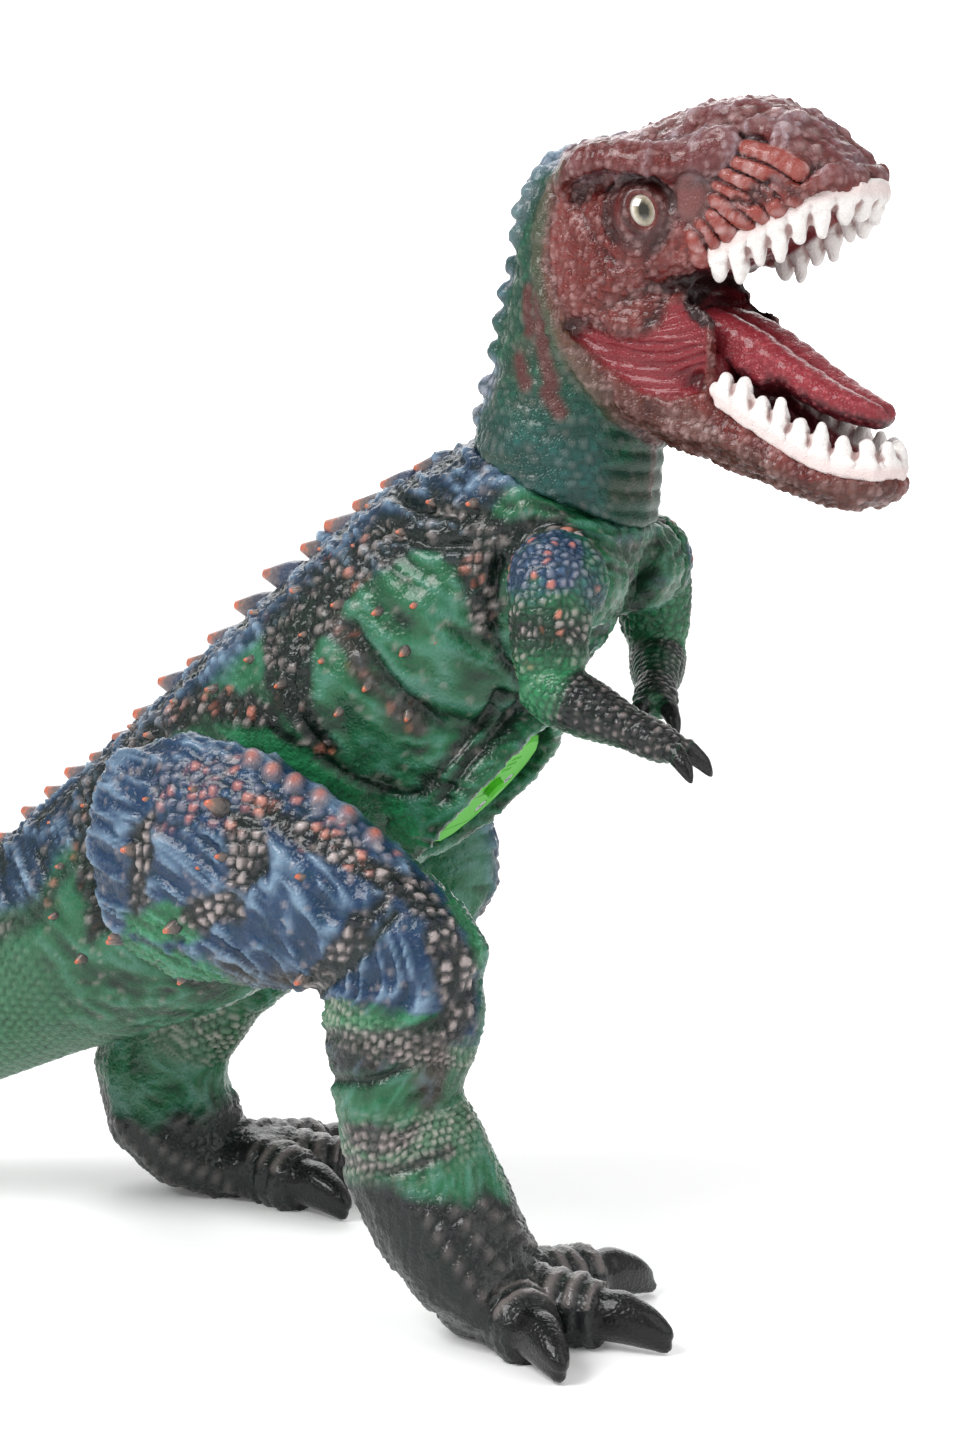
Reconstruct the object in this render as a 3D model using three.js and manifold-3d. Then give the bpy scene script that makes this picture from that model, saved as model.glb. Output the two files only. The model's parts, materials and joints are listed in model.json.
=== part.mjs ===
// A large hollow-vinyl toy tyrannosaur with a sound box in its belly.
// The neck, both shoulders and both hips swivel on plastic plugs, and the roar button travels.
// Millimetres. +X is forwards, +Y is the figure's left, +Z is up, and the floor is z = 0.
import * as THREE from "three";
import { mergeVertices } from "three/addons/utils/BufferGeometryUtils.js";
import Module from "manifold-3d";

const wasm = await Module();
wasm.setup();

// Sizes of the whole figure
const hipHeight = 122; // hip axis above the floor
const neckReach = 87.5; // neck seam ahead of the hip axis
const neckRise = 110; // neck seam above the hip axis
const tailReach = 296; // tail tip behind the hip axis
const tailTipRise = 9; // tail tip above the floor
const torsoDepth = 90; // back to belly at the hips
const torsoWidth = 76; // side to side at the belly
const neckSeamRadius = 28.5;
const neckTilt = 25; // degrees that the neck axis leans forwards
const wall = 3; // thickness of the vinyl skins
const gap = 0.3; // clearance between parts that touch on the real figure
const overrun = 2; // how far a cutter runs past what it cuts
const mergeDistance = 1e-4; // points nearer than this are one

// Swivel joints
const hipFace = 30; // half the distance between the two hip faces
const hipFaceRadius = 27;
const hipShaftRadius = 9;
const shoulderFace = 32; // half the distance between the two shoulder faces
const shoulderFaceRadius = 14.5;
const shoulderShaftRadius = 5;
const shoulderReach = 99; // shoulder axis ahead of the hip axis
const shoulderRise = 86; // shoulder axis above the hip axis
const neckShaftRadius = 12;
const plugHead = 4; // thickness of a plug's head and of its flange
const plugLip = 5; // how far a head or flange stands out from its shaft
const armSocketDepth = 9;
const bossDepth = 16; // how deep the boss behind a limb's face reaches

// Back spikes
const spikeHeight = 8;
const spikeRadius = 5.5;
const spikeCount = 19;

// Head, measured in its own frame: x forwards from the top of the neck, z up
const headLength = 86; // top of the neck to the snout
const jawLength = 95; // top of the neck to the chin
const headHeight = 49; // top of the neck to the top of the snout
const jawDrop = 59.5; // top of the neck to the underside of the chin
const headWidth = 57;
const jawWidth = 50;
const headYaw = -12; // degrees that the head looks to the figure's right
const headLead = 10.3; // head frame ahead of the neck seam
const headLift = 57; // head frame above the neck seam
const neckDepth = 53;
const neckWidth = 53;
const toothLength = 8;
const toothRadius = 2.4;
const toothBandHeight = 5;
const tongueLength = 58;
const tongueWidth = 20;
const tongueThickness = 7;
const eyeRadius = 7.5;

// Arms
const upperArmLength = 28;
const forearmLength = 27;
const handLength = 18;
const armRadius = 12;
const armSpread = 14; // arm centre line outside the shoulder face

// Legs
const thighDepth = 72;
const thighWidth = 33;
const shinDepth = 47;
const shinWidth = 35;
const kneeReach = 74; // right knee ahead of the hip axis
const hockReach = 68; // left hock behind the hip axis
const legSpread = 54; // foot centre line from the middle of the figure
const toeRadius = 11;
const toeLength = 32; // ball of the foot to the claw's root
const clawLength = 23;
const clawRadius = 7.4;

// Sound box, set in the belly
const boxLength = 40; // along the belly
const boxWidth = 36; // side to side
const boxStandOut = 4; // bezel above the ledge in the skin
const boxRim = 2.2; // bezel over the ledge
const boxWall = 1.6;
const boxReach = 61; // centre of the box ahead of the hip axis
const boxRise = 24; // centre of the box above the hip axis
const boxTilt = 47; // degrees that the box's face turns from straight down towards the front
const buttonRadius = 3.2;
const buttonFlange = 0.7; // ring that keeps the button in
const buttonStandOut = 3;
const buttonDome = 1.2;
const boardThickness = 1.6;
const cellRadius = 5.8;
const cellThickness = 5.4;
const cellCount = 3;
const contactThickness = 0.4;
const speakerRadius = 4.7;
const speakerRim = 1.2;
const speakerDepth = 4;
const magnetRadius = 3;
const magnetDepth = 3;
const doorLength = 13;
const doorWidth = 20;
const grilleHoleRadius = 0.8;
const screwRadius = 1.2;
const screwHeadRadius = 2.2;
const screwHeadHeight = 1;
const screwLength = 7;
const slotWidth = 0.6;
const springWire = 0.8;

const torsoSides = 18;
const limbSides = 12;
const toeSides = 8;
const clawSides = 6;
const roundSides = 16;
const smallSides = 12;

const up = new THREE.Vector3(0, 0, 1);
const forwards = new THREE.Vector3(1, 0, 0);
const leftwards = new THREE.Vector3(0, 1, 0);
const radians = THREE.MathUtils.degToRad;
const vector = (x, y, z) => new THREE.Vector3(x, y, z);

// A closed three.js geometry as a manifold-3d solid
function solidOf(geometry) {
  const bare = new THREE.BufferGeometry();
  const flat = geometry.index ? geometry.toNonIndexed() : geometry;
  bare.setAttribute("position", flat.getAttribute("position"));
  const merged = mergeVertices(bare, mergeDistance);
  return new wasm.Manifold(
    new wasm.Mesh({
      numProp: 3,
      vertProperties: merged.attributes.position.array,
      triVerts: new Uint32Array(merged.index.array),
    }),
  );
}

// A manifold-3d solid as a three.js geometry
function geometryOf(solid) {
  const mesh = solid.getMesh();
  const points = new Float32Array(mesh.numVert * 3);
  for (let i = 0; i < mesh.numVert; i++) {
    const first = i * mesh.numProp;
    points.set(mesh.vertProperties.subarray(first, first + 3), i * 3);
  }
  const geometry = new THREE.BufferGeometry();
  geometry.setAttribute("position", new THREE.BufferAttribute(points, 3));
  geometry.setIndex(new THREE.BufferAttribute(mesh.triVerts, 1));
  geometry.computeVertexNormals();
  return geometry;
}

const join = (solids) => solids.reduce((all, next) => all.add(next));
const cut = (solid, cutters) => cutters.reduce((left, next) => left.subtract(next), solid);

// A closed skin through oval rings. A station has its centre, half width and half height,
// and may have the direction that its ring faces. A higher power makes a ring squarer.
function loft(stations, sides, { power = 2, lowPower = power, hint = up, turn = 0 } = {}) {
  const rings = stations.map((station, i) => {
    const before = stations[Math.max(0, i - 1)].at;
    const after = stations[Math.min(stations.length - 1, i + 1)].at;
    const along = (station.along ?? after.clone().sub(before)).clone().normalize();
    const side = hint.clone().cross(along).normalize();
    const top = along.clone().cross(side);
    return Array.from({ length: sides }, (_, j) => {
      const angle = turn + (2 * Math.PI * j) / sides;
      const bend = Math.sin(angle) < 0 ? lowPower : power;
      const round = (value) => Math.sign(value) * Math.abs(value) ** (2 / bend);
      return station.at
        .clone()
        .addScaledVector(side, station.wide * round(Math.cos(angle)))
        .addScaledVector(top, station.high * round(Math.sin(angle)));
    });
  });
  const points = [];
  const face = (...corners) => corners.forEach((corner) => points.push(...corner.toArray()));
  const last = rings.length - 1;
  for (let j = 0; j < sides; j++) {
    const next = (j + 1) % sides;
    for (let i = 0; i < last; i++) {
      face(rings[i][j], rings[i][next], rings[i + 1][next]);
      face(rings[i][j], rings[i + 1][next], rings[i + 1][j]);
    }
    face(stations[0].at, rings[0][next], rings[0][j]);
    face(stations[last].at, rings[last][j], rings[last][next]);
  }
  const geometry = new THREE.BufferGeometry();
  geometry.setAttribute("position", new THREE.Float32BufferAttribute(points, 3));
  return solidOf(geometry);
}

const towards = (direction) =>
  new THREE.Quaternion().setFromUnitVectors(leftwards, direction.clone().normalize());

// Turns a geometry that was made about Y to face a direction, and moves it
function aim(geometry, at, direction) {
  geometry.applyQuaternion(towards(direction));
  geometry.translate(at.x, at.y, at.z);
  return solidOf(geometry);
}

// A round bar that starts at a point and runs in a direction
function bar(start, direction, radius, length, sides = roundSides, endRadius = radius) {
  const geometry = new THREE.CylinderGeometry(endRadius, radius, length, sides);
  geometry.translate(0, length / 2, 0);
  return aim(geometry, start, direction);
}

// A solid turned about a direction; the profile is [radius, distance] from axis to axis
function turned(profile, start, direction, sides = roundSides) {
  const outline = profile.map(([radius, distance]) => new THREE.Vector2(radius, distance));
  return aim(new THREE.LatheGeometry(outline, sides), start, direction);
}

function ellipsoid(at, radii, sides = limbSides) {
  const geometry = new THREE.SphereGeometry(1, sides, Math.ceil(sides / 2));
  geometry.scale(radii.x, radii.y, radii.z);
  geometry.translate(at.x, at.y, at.z);
  return solidOf(geometry);
}

function block(at, size) {
  const geometry = new THREE.BoxGeometry(size.x, size.y, size.z);
  geometry.translate(at.x, at.y, at.z);
  return solidOf(geometry);
}

// Everything under the floor, so that soles come out flat
const reachOfFloor = 2 * (tailReach + neckReach + headLength);
const underFloor = block(
  vector(0, 0, -reachOfFloor / 4),
  vector(reachOfFloor, reachOfFloor, reachOfFloor / 2),
);

const figure = new THREE.Group();

function addPart(name, solid, { color, roughness = 0.45, metalness = 0 }) {
  const material = new THREE.MeshStandardMaterial({ color, roughness, metalness });
  const mesh = new THREE.Mesh(geometryOf(solid), material);
  mesh.name = name;
  figure.add(mesh);
}

const vinylGreen = { color: 0x2f7d4f };
const vinylRed = { color: 0x7d3a34 };
const tongueRed = { color: 0xb04048 };
const toothWhite = { color: 0xf2f0ec };
const eyeCream = { color: 0xd9d3ae, roughness: 0.15 };
const limePlastic = { color: 0x6fd024, roughness: 0.3 };
const blackPlastic = { color: 0x1c1c1e };
const boardGreen = { color: 0x1f5a36, roughness: 0.6 };
const bareSteel = { color: 0xb9bcc0, roughness: 0.3, metalness: 1 };

// Torso and tail
const neckAxis = vector(Math.sin(radians(neckTilt)), 0, Math.cos(radians(neckTilt)));
const neckSeam = vector(neckReach, 0, hipHeight + neckRise);

// Each row: reach and rise as shares of the neck's, half depth and half width as shares
const torsoShares = [
  [0.95, 0.93, 0.66, 0.78],
  [0.85, 0.82, 0.77, 0.82],
  [0.7, 0.72, 0.83, 0.88],
  [0.54, 0.61, 0.85, 0.96],
  [0.37, 0.48, 0.87, 1.0],
  [0.19, 0.34, 0.9, 0.97],
  [0.0, 0.19, 0.93, 0.88],
  [-0.19, 0.03, 0.97, 0.84],
];

// Each row: reach as a share of the tail's, height as a share of the hip's, then half sizes
const tailShares = [
  [0.135, 0.89, 0.92, 0.82],
  [0.216, 0.78, 0.82, 0.77],
  [0.29, 0.68, 0.73, 0.72],
  [0.39, 0.53, 0.6, 0.62],
  [0.51, 0.36, 0.46, 0.49],
  [0.625, 0.225, 0.345, 0.385],
  [0.74, 0.12, 0.255, 0.3],
  [0.84, 0.058, 0.185, 0.225],
  [0.925, 0.05, 0.12, 0.15],
];

const torsoStations = [
  { at: neckSeam, wide: neckSeamRadius, high: neckSeamRadius, along: neckAxis.clone().negate() },
  ...torsoShares.map(([reach, rise, deep, wide]) => ({
    at: vector(reach * neckReach, 0, hipHeight + rise * neckRise),
    high: (deep * torsoDepth) / 2,
    wide: (wide * torsoWidth) / 2,
  })),
];
const tailStations = [
  ...tailShares.map(([reach, rise, deep, wide]) => ({
    at: vector(-reach * tailReach, 0, rise * hipHeight),
    high: (deep * torsoDepth) / 2,
    wide: (wide * torsoWidth) / 2,
  })),
  { at: vector(-tailReach, 0, tailTipRise), high: wall / 2, wide: wall / 2 },
];

// A swivel: two faces that turn on each other, and the plug through them
const swivels = {
  neck: {
    face: neckSeam,
    out: neckAxis,
    radius: neckSeamRadius,
    shaft: neckShaftRadius,
  },
  hip: (side) => ({
    face: vector(0, side * hipFace, hipHeight),
    out: leftwards.clone().multiplyScalar(side),
    radius: hipFaceRadius,
    shaft: hipShaftRadius,
  }),
  shoulder: (side) => ({
    face: vector(shoulderReach, side * shoulderFace, hipHeight + shoulderRise),
    out: leftwards.clone().multiplyScalar(side),
    radius: shoulderFaceRadius,
    shaft: shoulderShaftRadius,
  }),
};
const pointOn = (swivel, distance) =>
  swivel.face.clone().addScaledVector(swivel.out, distance);

// The hole in the torso that a plug's shaft runs in
const shaftHole = (swivel) =>
  bar(pointOn(swivel, -wall - overrun), swivel.out, swivel.shaft + gap, wall + 2 * overrun);

// The boss that a limb turns on, the bore behind its face for the plug's head,
// and the room in front of it
const faceBoss = (swivel) =>
  bar(pointOn(swivel, -bossDepth), swivel.out, swivel.radius, bossDepth);
const headBore = (swivel) =>
  bar(
    pointOn(swivel, -bossDepth),
    swivel.out,
    swivel.shaft + plugLip + gap,
    bossDepth - wall,
  );
const faceRoom = (swivel) =>
  bar(swivel.face, swivel.out, swivel.radius + wall, torsoWidth / 2, roundSides);

const boxFace = vector(Math.sin(radians(boxTilt)), 0, -Math.cos(radians(boxTilt)));
const boxAlong = vector(Math.cos(radians(boxTilt)), 0, Math.sin(radians(boxTilt)));
const boxCentre = vector(boxReach, 0, hipHeight + boxRise);
const boxPoint = (along, side, out) =>
  boxCentre
    .clone()
    .addScaledVector(boxAlong, along)
    .addScaledVector(leftwards, side)
    .addScaledVector(boxFace, out);

// An upright oval of the sound box, from one level to another
function boxOval(inset, from, to, sides = roundSides) {
  const level = (out, half) => ({
    at: boxPoint(0, 0, out),
    wide: boxWidth / 2 - half,
    high: boxLength / 2 - half,
    along: boxFace,
  });
  return loft([level(from, inset), level(to, inset)], sides, { hint: boxAlong });
}

function backSpikes() {
  // Counted from the neck to the tail: place along the stations, then size
  const stations = [...torsoStations, ...tailStations];
  const firstStation = 0.6;
  const lastStation = 13.6;
  const shrinkShare = 0.55;
  return Array.from({ length: spikeCount }, (_, i) => {
    const share = i / (spikeCount - 1);
    const place = firstStation + (lastStation - firstStation) * share;
    const near = stations[Math.floor(place)];
    const far = stations[Math.floor(place) + 1];
    const part = place - Math.floor(place);
    const centre = near.at.clone().lerp(far.at, part);
    const along = far.at.clone().sub(near.at).normalize();
    const out = leftwards.clone().cross(along);
    const high = near.high + (far.high - near.high) * part;
    const size = 1 - shrinkShare * Math.abs(2 * share - 0.7);
    const lean = out.clone().addScaledVector(along, 0.35).normalize();
    const root = centre.addScaledVector(out, high - spikeRadius / 2);
    const height = spikeHeight * size + spikeRadius / 2;
    return bar(root, lean, spikeRadius * size, height, 4, (spikeRadius * size) / 5);
  });
}

function torsoCavity() {
  const inner = [...torsoStations.slice(1), ...tailStations.slice(0, 6)].map((station) => ({
    ...station,
    high: station.high - wall,
    wide: station.wide - wall,
  }));
  const top = {
    at: pointOn(swivels.neck, -wall),
    wide: neckSeamRadius - wall,
    high: neckSeamRadius - wall,
    along: neckAxis.clone().negate(),
  };
  return loft([top, ...inner], limbSides);
}

function torsoSkin() {
  const sides = [-1, 1];
  const limbSwivels = sides.flatMap((side) => [swivels.hip(side), swivels.shoulder(side)]);
  const outer = join([
    loft([...torsoStations, ...tailStations], torsoSides),
    ...limbSwivels.map(faceBoss),
    boxOval(-boxRim - gap, -boxLength / 3, 0),
    ...backSpikes(),
  ]);
  const wallBacking = limbSwivels.map((swivel) =>
    bar(pointOn(swivel, -wall), swivel.out, swivel.radius + 2 * wall, torsoWidth / 2),
  );
  const cavity = cut(torsoCavity(), [...wallBacking, seatBacking()]);
  return cut(outer, [
    underFloor,
    ...limbSwivels.map(faceRoom),
    cavity,
    ...limbSwivels.map(headBore),
    ...[...limbSwivels, swivels.neck].map(shaftHole),
    boxOval(-gap, -torsoDepth / 3, overrun),
    bezelSeat(),
  ]);
}

// The room over the collar that the bezel sits on, and the skin kept round and behind it
const bezelSeat = () => boxOval(-boxRim - gap, 0, torsoDepth / 2);
const seatBacking = () => boxOval(-boxRim - gap - wall, -boxLength / 3, torsoDepth / 2);

// A plug's shaft goes through both faces. The head holds inside the torso, the flange in the limb.
function plug(swivel, limbWall) {
  const head = swivel.shaft + plugLip;
  const headAt = -wall - gap - plugHead;
  const flangeAt = gap + limbWall + gap;
  return turned(
    [
      [0, headAt],
      [head - plugHead / 2, headAt],
      [head, headAt + plugHead / 2],
      [head, headAt + plugHead],
      [swivel.shaft, headAt + plugHead],
      [swivel.shaft, flangeAt],
      [head, flangeAt],
      [head, flangeAt + plugHead / 2],
      [0, flangeAt + plugHead / 2],
    ],
    swivel.face,
    swivel.out,
  );
}

// A short plug whose shaft is glued in a solid arm
function armPlug(swivel) {
  const head = swivel.shaft + plugLip;
  const headAt = -wall - gap - plugHead;
  return turned(
    [
      [0, headAt],
      [head - plugHead / 2, headAt],
      [head, headAt + plugHead / 2],
      [head, headAt + plugHead],
      [swivel.shaft, headAt + plugHead],
      [swivel.shaft, armSocketDepth],
      [0, armSocketDepth],
    ],
    swivel.face,
    swivel.out,
  );
}

// Head, built in its own frame and then turned and set on the neck
const headFrame = new THREE.Matrix4()
  .makeRotationZ(radians(headYaw))
  .setPosition(neckReach + headLead, 0, hipHeight + neckRise + headLift);
const headPoint = (x, y, z) => vector(x, y, z).applyMatrix4(headFrame);
const headForwards = forwards.clone().applyAxisAngle(up, radians(headYaw));

// Rows: reach, top and underside, half width, each as a share of the head's own sizes
const skullShares = [
  [-0.17, 0.67, -0.2, 0.74],
  [0.0, 0.75, -0.36, 0.9],
  [0.16, 0.8, -0.26, 0.98],
  [0.33, 0.9, -0.08, 0.96],
  [0.48, 0.98, 0.05, 0.84],
  [0.62, 0.99, 0.18, 0.73],
  [0.76, 0.9, 0.31, 0.66],
  [0.87, 0.74, 0.41, 0.58],
  [0.95, 0.62, 0.46, 0.46],
  [1.0, 0.54, 0.48, 0.26],
];
const jawShares = [
  [0.08, -0.15, -0.58, 0.98],
  [0.25, -0.27, -0.71, 0.97],
  [0.4, -0.4, -0.8, 0.88],
  [0.53, -0.53, -0.85, 0.78],
  [0.66, -0.67, -0.91, 0.72],
  [0.78, -0.78, -0.97, 0.66],
  [0.88, -0.83, -1.0, 0.56],
  [0.96, -0.83, -0.97, 0.37],
  [1.0, -0.84, -0.92, 0.15],
];

// One station of the head from a row of shares
function headStation([reach, top, bottom, wide], length, height, width, spare = 0) {
  return {
    at: headPoint(reach * length, 0, ((top + bottom) * height) / 2),
    high: ((top - bottom) * height) / 2 + spare,
    wide: (wide * width) / 2 + spare,
    along: headForwards,
  };
}
const skullStations = (spare = 0) =>
  skullShares.map((row) => headStation(row, headLength, headHeight, headWidth, spare));
const jawStations = (spare = 0) =>
  jawShares.map((row) => headStation(row, jawLength, jawDrop, jawWidth, spare));

// Rows: place along the neck axis, then half depth and half width as shares
const neckShares = [
  [0.5, -0.02, 0.92, 0.97],
  [0.75, -0.03, 0.93, 0.98],
  [1.0, 0.0, 0.9, 0.98],
  [1.2, 0.06, 0.68, 0.83],
];
function neckStations(spare = 0) {
  const foot = pointOn(swivels.neck, gap + (spare ? wall : 0));
  return [
    {
      at: foot,
      high: neckSeamRadius - spare,
      wide: neckSeamRadius - spare,
      along: neckAxis,
    },
    ...neckShares.map(([rise, lean, deep, wide]) => ({
      at: vector(
        neckReach + (rise + lean) * headLead,
        0,
        hipHeight + neckRise + rise * headLift,
      ),
      high: (deep * neckDepth) / 2 - spare,
      wide: (wide * neckWidth) / 2 - spare,
    })),
  ];
}

function neckSpikes() {
  const rows = neckStations();
  return [0.35, 0.95, 1.5, 2.05, 2.6, 3.15].map((place) => {
    const near = rows[Math.floor(place)];
    const far = rows[Math.floor(place) + 1];
    const part = place - Math.floor(place);
    const along = far.at.clone().sub(near.at).normalize();
    const out = along.clone().cross(leftwards);
    const high = near.high + (far.high - near.high) * part;
    const root = near.at.clone().lerp(far.at, part).addScaledVector(out, high - spikeRadius / 2);
    const stand = spikeRadius / 2 + spikeHeight / 3;
    return bar(root, out, spikeRadius / 2, stand, 5, spikeRadius / 4);
  });
}

// The line that a row of teeth follows, from the right corner of the mouth round to the left.
// Each row of shares: reach, height, half width.
const upperLipShares = [
  [0.54, 0.13, 0.64],
  [0.62, 0.2, 0.59],
  [0.76, 0.33, 0.52],
  [0.87, 0.43, 0.43],
  [0.96, 0.48, 0.24],
];
const lowerLipShares = [
  [0.5, -0.5, 0.66],
  [0.58, -0.58, 0.62],
  [0.68, -0.68, 0.57],
  [0.78, -0.77, 0.5],
  [0.88, -0.82, 0.4],
  [0.96, -0.83, 0.2],
];
function lipLine(shares, length, height, width) {
  const right = shares.map(([reach, rise, wide]) =>
    vector(reach * length, (-wide * width) / 2, rise * height),
  );
  const left = right.map((p) => vector(p.x, -p.y, p.z)).reverse();
  return new THREE.CatmullRomCurve3([...right, ...left]);
}
const upperLip = lipLine(upperLipShares, headLength, headHeight, headWidth);
const lowerLip = lipLine(lowerLipShares, jawLength, jawDrop, jawWidth);

// The strip that carries a row of teeth
function toothStrip(lip, spare = 0) {
  const steps = 14;
  const stations = Array.from({ length: steps + 1 }, (_, i) => {
    const at = lip.getPointAt(i / steps);
    const along = lip.getTangentAt(i / steps).setZ(0).normalize();
    if (i === 0 || i === steps) {
      at.addScaledVector(along, i ? spare : -spare);
    }
    return {
      at: at.applyMatrix4(headFrame),
      along: along.applyAxisAngle(up, radians(headYaw)),
      wide: toothRadius + gap + spare,
      high: toothBandHeight / 2 + spare,
    };
  });
  return loft(stations, 4, { power: 9, turn: Math.PI / 4 });
}

function toothRow(lip, direction, lengthShares) {
  const count = 2 * lengthShares.length;
  const inset = 0.025;
  const teeth = Array.from({ length: count }, (_, i) => {
    const share = inset + ((1 - 2 * inset) * i) / (count - 1);
    const at = lip.getPointAt(share).applyMatrix4(headFrame);
    const size = lengthShares[Math.min(i, count - 1 - i)];
    const down = up.clone().multiplyScalar(direction);
    return bar(at, down, toothRadius, toothBandHeight / 2 + toothLength * size, 4, toothRadius / 3);
  });
  return join([toothStrip(lip), ...teeth]);
}
const upperToothShares = [0.6, 1.0, 0.8, 1.05, 0.75, 0.95, 0.7, 0.6];
const lowerToothShares = [0.5, 0.8, 0.6, 1.0, 0.7, 0.95, 0.7, 0.65, 0.6];

const eyeShares = { reach: 0.32, rise: 0.37, side: 0.36 };
const eyePlace = (side) =>
  headPoint(
    eyeShares.reach * headLength,
    side * eyeShares.side * headWidth,
    eyeShares.rise * headHeight,
  );

const eyeball = (side, spare = 0) => {
  const radius = eyeRadius + spare;
  return ellipsoid(eyePlace(side), vector(radius, radius, radius), limbSides);
};

// Rows: reach, height, half width and half thickness as shares of the tongue's sizes
const tongueShares = [
  [0.0, 0.0, 0.75, 1.0],
  [0.3, -0.08, 1.0, 1.0],
  [0.6, -0.6, 1.0, 0.85],
  [0.82, -1.45, 0.8, 0.65],
  [1.0, -1.9, 0.35, 0.35],
];
const tongueRootShares = { reach: 0.34, rise: -0.37 };
function tongueSolid(spare = 0) {
  const rootAt = vector(tongueRootShares.reach * jawLength, 0, tongueRootShares.rise * jawDrop);
  const stations = tongueShares.map(([reach, rise, wide, thick]) => ({
    at: headPoint(rootAt.x + reach * tongueLength, 0, rootAt.z + rise * tongueThickness),
    wide: (wide * tongueWidth) / 2 + spare,
    high: (thick * tongueThickness) / 2 + spare,
    along: headForwards,
  }));
  if (spare) {
    stations[0].at.addScaledVector(headForwards, -spare);
    stations.at(-1).at.addScaledVector(headForwards, spare);
  }
  return loft(stations, limbSides);
}

// The hollow between the jaws, from the throat to past the lips
const mouthShares = [
  [0.36, -0.02, -0.35, 0.5],
  [0.45, 0.04, -0.52, 0.62],
  [0.62, 0.25, -0.82, 0.5],
  [0.8, 0.45, -0.98, 0.4],
  [0.93, 0.53, -1.03, 0.26],
];
const headRings = (rows) =>
  rows.map((row) => headStation(row, headLength, headHeight, headWidth));
const mouthHollow = () => loft(headRings(mouthShares), limbSides, { power: 2.6 });

const cheekShares = [
  [0.05, 0.3, -0.54, 0.84],
  [0.25, 0.18, -0.72, 0.92],
  [0.42, 0.1, -0.69, 0.86],
  [0.55, -0.12, -0.6, 0.76],
];
const cheeks = () => loft(headRings(cheekShares), limbSides);

// Rows: reach, height, sideways place, then the ridge's radius over the head's height
const browShares = [
  [0.02, 0.52, 0.72, 0.08],
  [0.16, 0.64, 0.84, 0.11],
  [0.34, 0.62, 0.82, 0.1],
  [0.52, 0.68, 0.62, 0.09],
  [0.7, 0.76, 0.42, 0.06],
];
function browRidge(side) {
  const stations = browShares.map(([reach, rise, wide, thick]) => ({
    at: headPoint(reach * headLength, (side * wide * headWidth) / 2, rise * headHeight),
    wide: thick * headHeight,
    high: thick * headHeight,
  }));
  return loft(stations, toeSides);
}

function headSkin() {
  const skull = loft(skullStations(), torsoSides, { power: 2.3, lowPower: 5 });
  const jaw = loft(jawStations(), limbSides + 4, { power: 5, lowPower: 2.3 });
  const outer = join([
    skull,
    jaw,
    cheeks(),
    loft(neckStations(), torsoSides),
    browRidge(-1),
    browRidge(1),
    ...neckSpikes(),
  ]);
  const neckRoom = loft(neckStations(wall), limbSides);
  const skullRoom = loft(skullStations(-wall).slice(1, 5), limbSides, { power: 2.3 });
  const guard = join([mouthWall(), eyeball(-1, wall), eyeball(1, wall)]);
  return cut(outer, [
    cut(join([neckRoom, skullRoom]), [guard]),
    mouthHollow(),
    lipGap(),
    toothStrip(upperLip, gap),
    toothStrip(lowerLip, gap),
    tongueSolid(gap),
    eyeball(-1, gap),
    eyeball(1, gap),
    bar(pointOn(swivels.neck, 0), neckAxis, neckShaftRadius + gap, wall + 2 * gap + overrun),
  ]);
}

// The mouth's hollow grown by one wall, so that the skull's room stays shut towards it
const mouthWallShares = [
  [0.28, 0.05, -0.43, 0.62],
  [0.45, 0.11, -0.6, 0.74],
  [0.62, 0.32, -0.85, 0.64],
];
const mouthWall = () => loft(headRings(mouthWallShares), limbSides, { power: 2.6 });

// The open space between the upper and the lower lips, from the mouth's corner forwards
const lipGapShares = [
  [0.55, 0.1, -0.6, 1.1],
  [0.62, 0.17, -0.67, 1.1],
  [0.8, 0.34, -0.87, 1.1],
  [1.25, 0.6, -1.0, 1.1],
];
const lipGap = () => loft(headRings(lipGapShares), 4, { power: 9, turn: Math.PI / 4 });

// Arms are solid. Rows of an upper arm: outwards and downwards, then half sizes.
const upperArmShares = [
  [0.62, -0.15, 0.75, 0.95],
  [0.7, 0.3, 0.8, 1.0],
  [0.85, 0.72, 0.72, 0.88],
  [0.95, 1.05, 0.5, 0.6],
];

// Rows of a forearm and its palm: place along it, then half sizes
const forearmShares = [
  [-0.16, 0.52, 0.52],
  [0.08, 0.7, 0.74],
  [0.38, 0.66, 0.68],
  [0.72, 0.48, 0.48],
  [0.98, 0.56, 0.44],
  [1.12, 0.42, 0.34],
];

// Rows of a clawed finger: place along it, droop, half size
const fingerShares = [
  [0.0, 0.0, 1.0],
  [0.42, 0.0, 0.9],
  [0.55, -0.03, 1.05],
  [0.8, 0.1, 0.8],
  [1.0, 0.32, 0.2],
];

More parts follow.
